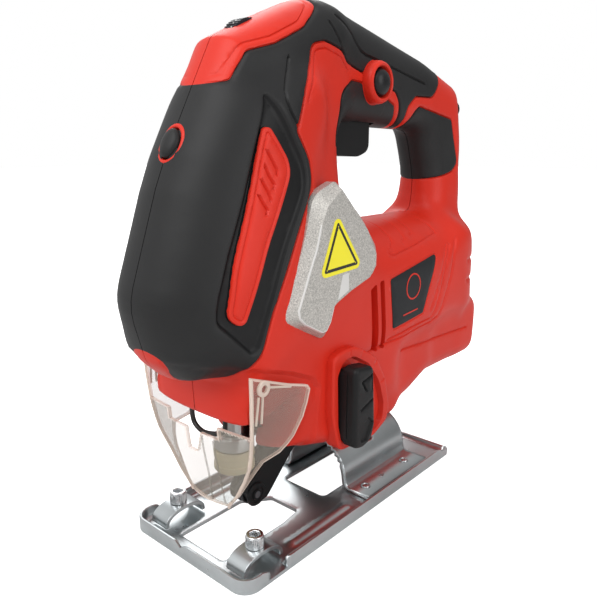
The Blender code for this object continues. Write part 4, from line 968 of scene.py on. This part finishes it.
def make_plate():
    outer = resample(rounded(SHOE, 6), 2.5)
    holes = [resample(rounded(loop, 10), 2.5) for loop in (BLADE_OPENING, REAR_OPENING)]
    ribs = [np.array([(s * 29.0, -31.0), (s * 29.0, 9.0)]) for s in (-1, 1)]
    loops = [outer, inset(outer, 1.7), inset(outer, 4.0), *holes]
    loops += [inset(hole, -1.2) for hole in holes]
    lines = [offset_line(rib, gap) for rib in ribs for gap in (-3.4, -2.4, -1.2, 0, 1.2, 2.4, 3.4)]
    verts, faces = triangulate(loops, lines, 2.2, 0.9)
    faces = keep_inside(verts, faces, outer, holes)
    top = np.full(len(verts), SHEET)
    for rib in ribs:
        top += 1.4 * (1 - smooth(0.8, 3.5, distance(verts, rib, closed=False)))
    edge = np.minimum(distance(verts, holes[0]), distance(verts, holes[1]))
    top -= 0.35 * (1 - smooth(0, 1.2, edge))
    low = np.where(depth_in(verts, outer) < 1.0, 0.5, 0.0)
    place(slab("shoe_plate", verts, faces, top, low, "zinc", 1, "Z", 40), "shoe", "base_plate")


def shoe_rim(name, path, heights):
    """Rolled rim along an open path; heights gives the lip's top at each point."""
    path = np.array(path, float)
    rows = []
    for point, side, lip in zip(path, across(path), heights):
        section = [(3.4, 0.3), (1.9, 0.02), (1, 0.2), (0.35, 0.7), (0.05, 1.6), (0, 2.6),
                   (0, lip - 0.7), (0.2, lip - 0.15), (0.8, lip), (1.4, lip - 0.2), (1.7, lip - 0.8), (1.8, 4),
                   (2.1, 3), (2.8, 2.4), (4.2, 2.25)]
        rows.append([(*(point + side * a), min(b, max(lip, 2.3))) for a, b in section])
    rim = grid_mesh(name, rows, "zinc", 50, True)
    place(mend(rim, fill=True), "shoe", "base_plate")


def make_rims():
    outline = resample(rounded(SHOE, 6), 2.5)
    half = SHOE[1][0]
    gap_front, gap_rear = -56.0, -45.0
    front = sorted((p for p in outline if p[1] < gap_front - 0.5),
                   key=lambda p: math.atan2(p[1] + 40, p[0]))
    front = np.array([(-half, gap_front), *front, (half, gap_front)])
    notch = 1 - 0.75 * np.exp(-((front[:, 0] + 3) / 1.5) ** 2) * (front[:, 1] < -66)
    ends = smooth(0.0, 3.0, np.abs(front[:, 1] - gap_front)) * 0.35 + 0.65
    shoe_rim("shoe_rim_front", front, 2.9 + 4.5 * notch * ends)
    for side, name in SIDES:
        back = [(side * half, gap_rear + k * 2.5) for k in range(57)]
        back += [(side * (half - 0.4), 96.2), (side * (half - 1.8), 97.4)]
        path = back if side > 0 else back[::-1]
        tall = np.array([4.5 + 2.5 * (1 - smooth(86, 90, np.array(p[1]))) for p in path])
        tall = np.where(np.array(path)[:, 1] < gap_rear + 4, 7.0, tall)
        shoe_rim(f"shoe_rim_{name}", path, tall)
    rear = [(half - 1.8 - k * (half - 1.8) / 15, 97.45) for k in range(31)]
    shoe_rim("shoe_rim_rear", rear, np.full(31, 4.4))


def make_bracket():
    """Half-round bracket with its feet, a toothed front edge and a slot for the bolt."""
    base = SHEET + 0.3
    section = [(35.0, base + 1.1), (22.6, base + 1.1), (20.4, base + 1.7), (19.3, base + 3.4)]
    steps = 34
    first = math.radians(4)
    mid_r = ARCH_R - SHEET / 2
    turns = [first + (math.pi - 2 * first) * k / steps for k in range(steps + 1)]
    arc = [(mid_r * math.cos(turn), ARCH_Z + mid_r * math.sin(turn)) for turn in turns]
    section = section + arc + [(-a, b) for a, b in reversed(section)]
    stations = np.concatenate([[20.5, 21.6], np.linspace(23, 77, 37)])
    rows = []
    for i, y in enumerate(stations):
        row = []
        for k, (a, b) in enumerate(section):
            tooth = 1.3 * (k % 2) if 7 < k < len(section) - 8 and i == 0 else 0.0
            row.append((a, y + tooth, b))
        rows.append(row)
    obj = grid_mesh("bevel_bracket_piece", rows, "zinc_arch", 40)
    bm = bmesh.new()
    bm.from_mesh(obj.data)
    middles = [(face, face.calc_center_median()) for face in bm.faces]
    slot = [face for face, at in middles if at.z > 0.0196 and 0.0449 < at.y < 0.0511]
    bmesh.ops.delete(bm, geom=slot, context="FACES")
    bm.to_mesh(obj.data)
    bm.free()
    place(solidify(obj, SHEET), "shoe", "bevel_bracket")
    for side in (-1, 1):
        for y in (28, 65):
            rivet = [(0, 2.0), (2.6, 2.0), (2.6, 2.5), (2.2, 3.1), (1.3, 3.4), (1.1, 3.0), (0, 2.9)]
            rivet = [(radius, base + high) for radius, high in rivet]
            piece = turned(f"bracket_rivet_{side}_{y}", rivet, (side * 28, y), "zinc", "Z", 24)
            place(piece, "shoe", "bevel_bracket")
        tick = [(side * 28 - 1.6, 42), (side * 28 + 1.6, 42), (side * 28, 45.4)]
        mark = prism(f"bracket_mark_{side}", tick, base + 2.1, base + 2.5, "zinc", "Z")
        place(mark, "shoe", "bevel_bracket")


def clamp_section(half, rise, steps, base):
    return [(CLAMP_Y + half * math.cos(math.pi * k / steps),
             base + rise * abs(math.sin(math.pi * k / steps)) ** 0.7) for k in range(steps + 1)]


def make_clamp(side, name):
    """Bent strip that arches over the fence bar, with the screw in its crown."""
    section = clamp_section(11.0, 6.5, 26, SHEET + 1.2)
    wide = np.linspace(CLAMP_X - 5.6, CLAMP_X + 5.6, 9)
    obj = grid_mesh(f"fence_clamp_{name}_piece", [[(side * x, y, z) for y, z in section] for x in wide],
                    "zinc", 40)
    solidify(obj, 1.9)
    place(bevel(obj, 0.3, 2, 50), "shoe", f"fence_clamp_{name}")
    make_socket_screw(side, name)


def make_socket_screw(side, name):
    """Socket head screw: knurled head, chamfered rim and a hexagon socket."""
    centre = (side * CLAMP_X, CLAMP_Y)
    knurl = toothed(centre, 30, ((0.0, 4.1), (0.5, 3.92)))
    hexagon = circle(centre, 2.45, 6, 0.4)
    shank = [(0, 7.1), (2.0, 7.1), (2.3, 7.6), (2.3, 11.2), (2.45, 11.2), (2.45, 12.4), (0, 12.4)]
    title = f"fence_screw_{name}"
    rim = circle(centre, 3.9, 40)
    for piece in (prism(f"{title}_head", knurl, 11.0, 15.8, "bright", "Z", [hexagon]),
                  bevel(prism(f"{title}_rim", rim, 15.6, 16.8, "bright", "Z", [hexagon]), 0.45, 3),
                  turned(f"{title}_shank", shank, centre, "bright", "Z", 28)):
        place(piece, "shoe", title)


make_plate()
make_rims()
make_bracket()
make_clamp(1, "left")
make_clamp(-1, "right")


# ---- blade clamp, fork and roller

FORK_PIVOT, ROLLER = (8.0, 48.0), (-31.0, 18.0)


def make_blade_parts():
    centre = (0.0, -39.0)
    ring = [(6.3, 33.6), (8.7, 33.6), (9.2, 34.1), (9.55, 34.6), (9.55, 37.0), (9.2, 37.4), (9.2, 40.4),
            (9.55, 40.8), (9.55, 43.4), (9.1, 44.1), (6.3, 44.1), (6.3, 33.6)]
    piece = turned("clamp_ring_piece", ring, centre, "amber", "Z", 56, 40)
    place(piece, "clamp_ring", "blade_clamp_collar")
    body = [(0, 37), (5.4, 37), (6, 37.6), (6, 44.6), (8.8, 44.6), (9.4, 45.2), (9.4, 50.2), (8.8, 51),
            (5.4, 51), (0, 51)]
    piece = turned("clamp_body_piece", body, centre, "steel", "Z", 56, 40)
    place(piece, "plunger", "blade_clamp_body")


def make_fork():
    (py, pz), (ry, rz) = FORK_PIVOT, ROLLER
    cheek = [(ry - 2, rz - 6.3, 5), (ry + 8, rz - 5, 6), (py - 13, pz - 17, 10), (py + 6.5, pz - 7, 6),
             (py + 6, pz + 6, 5), (py - 5, pz + 6, 5), (py - 22, pz - 9, 12), (ry - 7, rz + 4, 5.5)]
    web = [(ry + 9.5, rz + 9.5, 2), (ry + 14, rz + 3, 3), (py - 13, pz - 17, 8), (py + 5, pz - 7, 6),
           (py + 5, pz + 5, 5), (py - 5, pz + 5, 5), (py - 20, pz - 8, 10)]
    washer = [(0, 5.5), (5.9, 5.5), (5.9, 6.2), (5.4, 6.8), (4.2, 6.8), (3.9, 6.2), (2.7, 6.2),
              (2.5, 6.8), (0, 6.8)]
    wheel = [(0, -5.2), (1.6, -5.2), (1.6, -2.8), (5.6, -2.8), (6, -2.4), (6, -1.5), (5, -0.8),
             (5, 0.8), (6, 1.5), (6, 2.4), (5.6, 2.8), (1.6, 2.8), (1.6, 5.2), (0, 5.2)]
    for side, name in SIDES:
        piece = prism(f"fork_cheek_{name}", rounded(cheek), *sorted((side * 3.1, side * 5.6)), "dark")
        place(bevel(piece, 0.4), "fork", "roller_fork")
        ring = [(radius, side * along) for radius, along in washer][::side]
        place(turned(f"fork_disc_{name}", ring, ROLLER, "dark"), "fork", "roller_fork")
        low, high = sorted((side * 6.7, side * 7.1))
        tip = prism(f"fork_axle_{name}", circle(ROLLER, 1.7, 24), low, high, "iron")
        place(bevel(tip, 0.25), "fork", "roller_fork")
    place(prism("fork_web", rounded(web), -3.2, 3.2, "dark"), "fork", "roller_fork")
    place(turned("support_roller_piece", wheel, ROLLER, "dark_steel"), "roller", "support_roller")


def make_wire():
    bend = [(-9, 66), (-8.8, 62), (-7.4, 59), (-4, 57.2), (0, 56.8), (6, 58.2), (10, 59.6),
            (12.5, 61), (13, 64)]
    path = [(-9, -50, 84), (-9, -54, 81), (-9, -55.3, 78), *[(x, -55.5, z) for x, z in bend],
            (13, -55.3, 76), (13, -54, 80), (13, -50, 84)]
    place(tube_curve("finger_wire_piece", path, 1.1, "wire"), "casing", "finger_guard_wire")


make_blade_parts()
make_fork()
make_wire()


# ---- clear guard

GUARD_ROWS = np.array([(92.8, 35.4, -63.8, -61), (89.3, 35.4, -63.8, -52), (84.2, 35.3, -63.6, -39),
                       (80.5, 35.2, -63.5, -27.6), (78, 35.0, -63.4, -25.6), (72, 34.6, -63.0, -27),
                       (66, 34.0, -62.6, -29), (58, 32.4, -61.8, -33), (54.9, 31.6, -61.4, -36),
                       (52, 30.8, -61.0, -40.5), (51, 30.4, -60.8, -50), (46.5, 28.0, -60.0, -52),
                       (42, 25.4, -59.0, -53), (32, 19, -57.8, -53.5), (25, 12.5, -56.8, -54.6)])[::-1]
GUARD_TOP = [(-31.5, 66), (-18, 66), (-18, 60.5), (-5.6, 60.5), (-5.6, 50), (0, 50), (4, 60.5),
             (14.9, 60.5), (14.9, 66), (31.5, 66)]
GUARD_BOSS = [(1.6, -0.2), (3.4, -0.2), (3.4, 0.7), (2.6, 1.1), (1.6, 0.9), (1.6, -0.2)]
GUARD_RIBS = [((-52, 86.6), (-38.7, 83)), ((-55.2, 84), (-55.4, 72)), ((-57.5, 84), (-58.5, 72))]
SHOULDER_Z = 66      # where the front's straight top part begins
WALL = 1.5


def guard_half(z):
    return np.interp(z, GUARD_ROWS[:, 0], GUARD_ROWS[:, 1])


def guard_front(x, z):
    return np.interp(z, GUARD_ROWS[:, 0], GUARD_ROWS[:, 2]) + 2.2 * (x / guard_half(z)) ** 2


def shell_piece(name, plane, faces, outer, inner, highlight_width, border_loop):
    """Thin closed shell between two mappings of a plane region, its rim in the pale edge colour that paints a
    highlight.
    """
    used, sheet, walls = closed_sheet(faces, len(plane))
    rim = distance(plane[faces].mean(axis=1), border_loop) < highlight_width
    # rim faces and side walls take the pale colour, a painted highlight on the clear edges
    kinds = [*rim, *rim, *[True] * len(walls)]
    points = np.concatenate([outer[used], inner[used]])
    obj = mesh_object(name, points, sheet + walls, "clear clear_edge", 40)
    obj.data.polygons.foreach_set("material_index", np.array(kinds, np.int32))
    place(mend(obj), "guard", "blade_guard")


def guard_plane(outline):
    outline = resample(outline, 2.0)
    plane, faces = triangulate([outline, inset(outline, 0.9)], (), 3.2, 1.2)
    return outline, plane, keep_inside(plane, faces, outline)


def guard_tube(name, path, radius, key="clear_edge"):
    place(tube_curve(name, path, radius, key), "guard", "blade_guard")


def make_guard():
    lower = [(s * half, z) for s, rows in ((1, GUARD_ROWS[::-1]), (-1, GUARD_ROWS))
             for z, half, _, _ in rows if z < SHOULDER_Z]
    outline, plane, faces = guard_plane(
        GUARD_TOP + [(34.2, SHOULDER_Z)] + lower + [(-34.2, SHOULDER_Z)])
    x, z = plane.T
    front = guard_front(x, z)
    outer = np.column_stack([x, front, z])
    inner = np.column_stack([x * 0.985, front + WALL, z])
    shell_piece("guard_front", plane, faces, outer, inner, 0.6, outline)
    wing = [(guard_front(guard_half(z), z) + 0.4, z) for z, _, _, _ in GUARD_ROWS]
    wing += [(back, z) for z, _, _, back in GUARD_ROWS[::-1]]
    outline, plane, faces = guard_plane(wing)
    y, z = plane.T
    half = guard_half(z)
    for side, name in SIDES:
        outer = np.column_stack([side * half, y, z])
        inner = np.column_stack([side * (half - WALL), y, z])
        shell_piece(f"guard_wing_{name}", plane, faces, outer, inner, 0.7, outline)
        boss = turned(f"guard_boss_{name}", GUARD_BOSS, (-55.0, 87.0), "clear_edge", "X", 32, 40)
        boss.data.transform(Matrix.Translation((0.0355, 0, 0)))
        if side < 0:
            boss.data.transform(Matrix.Scale(-1, 4, (1, 0, 0)))
            boss.data.flip_normals()
        place(boss, "guard", "blade_guard")
        for i, (start, end) in enumerate(GUARD_RIBS):
            path = [(side * (guard_half(b) + 0.1), a, b) for a, b in np.linspace(start, end, 5)]
            guard_tube(f"guard_rib_{name}_{i}", path, 0.55)
        # pale tube down each front corner: painted highlight along the corner edge
        path = [(side * (guard_half(b) - 0.3), guard_front(guard_half(b), b) + 0.5, b)
                for b in np.linspace(92.5, 24, 24)]
        guard_tube(f"guard_corner_{name}", path, 0.62)
    for x in (5.0, 12.0):
        path = [(x, guard_front(x, b) - 0.1, b) for b in np.linspace(59, 27, 10)]
        guard_tube(f"guard_front_rib_{x:.0f}", path, 0.45, "clear")


make_guard()


# ---- camera, floor and light

ROOM_DIM, ROOM_BRIGHT = 0.16, 0.92


def make_world():
    """A white room: full white where it is seen, softer and darker at one side as a light."""
    world = bpy.data.worlds.new("studio")
    world.use_nodes = True
    nodes, links = world.node_tree.nodes, world.node_tree.links
    background = nodes["Background"]
    space = nodes.new("ShaderNodeTexCoord").outputs["Generated"]
    turn = nodes.new("ShaderNodeVectorMath")
    turn.operation = "DOT_PRODUCT"
    turn.inputs[1].default_value = (-0.45, -0.45, 0.77)
    links.new(space, turn.inputs[0])
    light = nodes.new("ShaderNodeMapRange")
    for key, value in (("From Min", -0.6), ("From Max", 0.9),
                       ("To Min", ROOM_DIM), ("To Max", ROOM_BRIGHT)):
        light.inputs[key].default_value = value
    links.new(turn.outputs["Value"], light.inputs["Value"])
    seen = nodes.new("ShaderNodeMix")
    links.new(nodes.new("ShaderNodeLightPath").outputs["Is Camera Ray"], seen.inputs["Factor"])
    links.new(light.outputs["Result"], seen.inputs["A"])
    seen.inputs["B"].default_value = 1.0
    links.new(seen.outputs["Result"], background.inputs["Strength"])
    background.inputs["Color"].default_value = (1.0, 1.0, 1.0, 1)
    return world


def make_stage():
    scene = bpy.context.scene
    camera = bpy.data.objects.new("camera", bpy.data.cameras.new("camera"))
    camera.location = (0.201, -0.221, 0.182)
    camera.rotation_euler = (math.radians(76), 0, math.radians(41.5))
    camera.data.lens = 38.23
    camera.data.sensor_width = 36
    camera.data.clip_start = 0.01
    scene.collection.objects.link(camera)
    scene.camera = camera
    floor_mat = Paint("pale_floor", (0.6, 0.6, 0.6), 0.8, Emission_Strength=0.3)
    floor_mat.shader["Emission Color"].default_value = (1, 1, 1, 1)
    floor_mat.tint(floor_mat.noise(3.0, 2.0), (0.60, 0.60, 0.60), (0.62, 0.62, 0.62))
    seen = floor_mat.nodes.new("ShaderNodeLightPath").outputs["Is Camera Ray"]
    floor_mat.links.new(seen, floor_mat.shader["Emission Strength"])
    size = 4000
    corners = [(a * size, b * size, -0.05) for a, b in ((-1, -1), (1, -1), (1, 1), (-1, 1))]
    MATS["floor"] = floor_mat.mat
    mesh_object("floor", corners, [(0, 1, 2, 3)], "floor")
    scene.world = make_world()
    scene.view_settings.view_transform = "Standard"
    for name, place_at, target, size_m, power in (
            ("key", (0.05, -0.9, 1.1), (0, 0, 0.12), 0.9, 11),
            ("side", (1.1, 0.1, 0.5), (0, 0.02, 0.12), 0.8, 5),
            ("back", (-0.8, 0.7, 0.9), (0, 0, 0.15), 0.7, 4)):
        data = bpy.data.lights.new(name, "AREA")
        data.size = size_m
        data.energy = power
        lamp = bpy.data.objects.new(name, data)
        lamp.location = place_at
        lamp.rotation_euler = (Vector(target) - Vector(place_at)).to_track_quat("-Z", "Y").to_euler()
        scene.collection.objects.link(lamp)


make_stage()

# ---- CAD nodes that stay

NODE_MATS = {
    "steel": """armature_shaft front_bearing rear_bearing drive_gear gear_spindle plunger_rod yoke
        orbital_cam fork_pin bevel_bolt bevel_clamp_block housing_screw_1 housing_screw_2
        housing_screw_3 housing_screw_4""",
    "copper": "armature_core commutator field_coil_upper field_coil_lower",
    "brass": "brush_holder_left brush_holder_right",
    "bronze": "plunger_bush_lower plunger_bush_upper",
    "iron": "stator_core",
    "cast": "gear_case",
    "dark": "fan switch_body light_module cord_gland",
}


def paint_nodes():
    for key, names in NODE_MATS.items():
        for name in names.split():
            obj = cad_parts[name]
            for slot in obj.material_slots:
                slot.link = "OBJECT"
                slot.material = MATS[key]


paint_nodes()
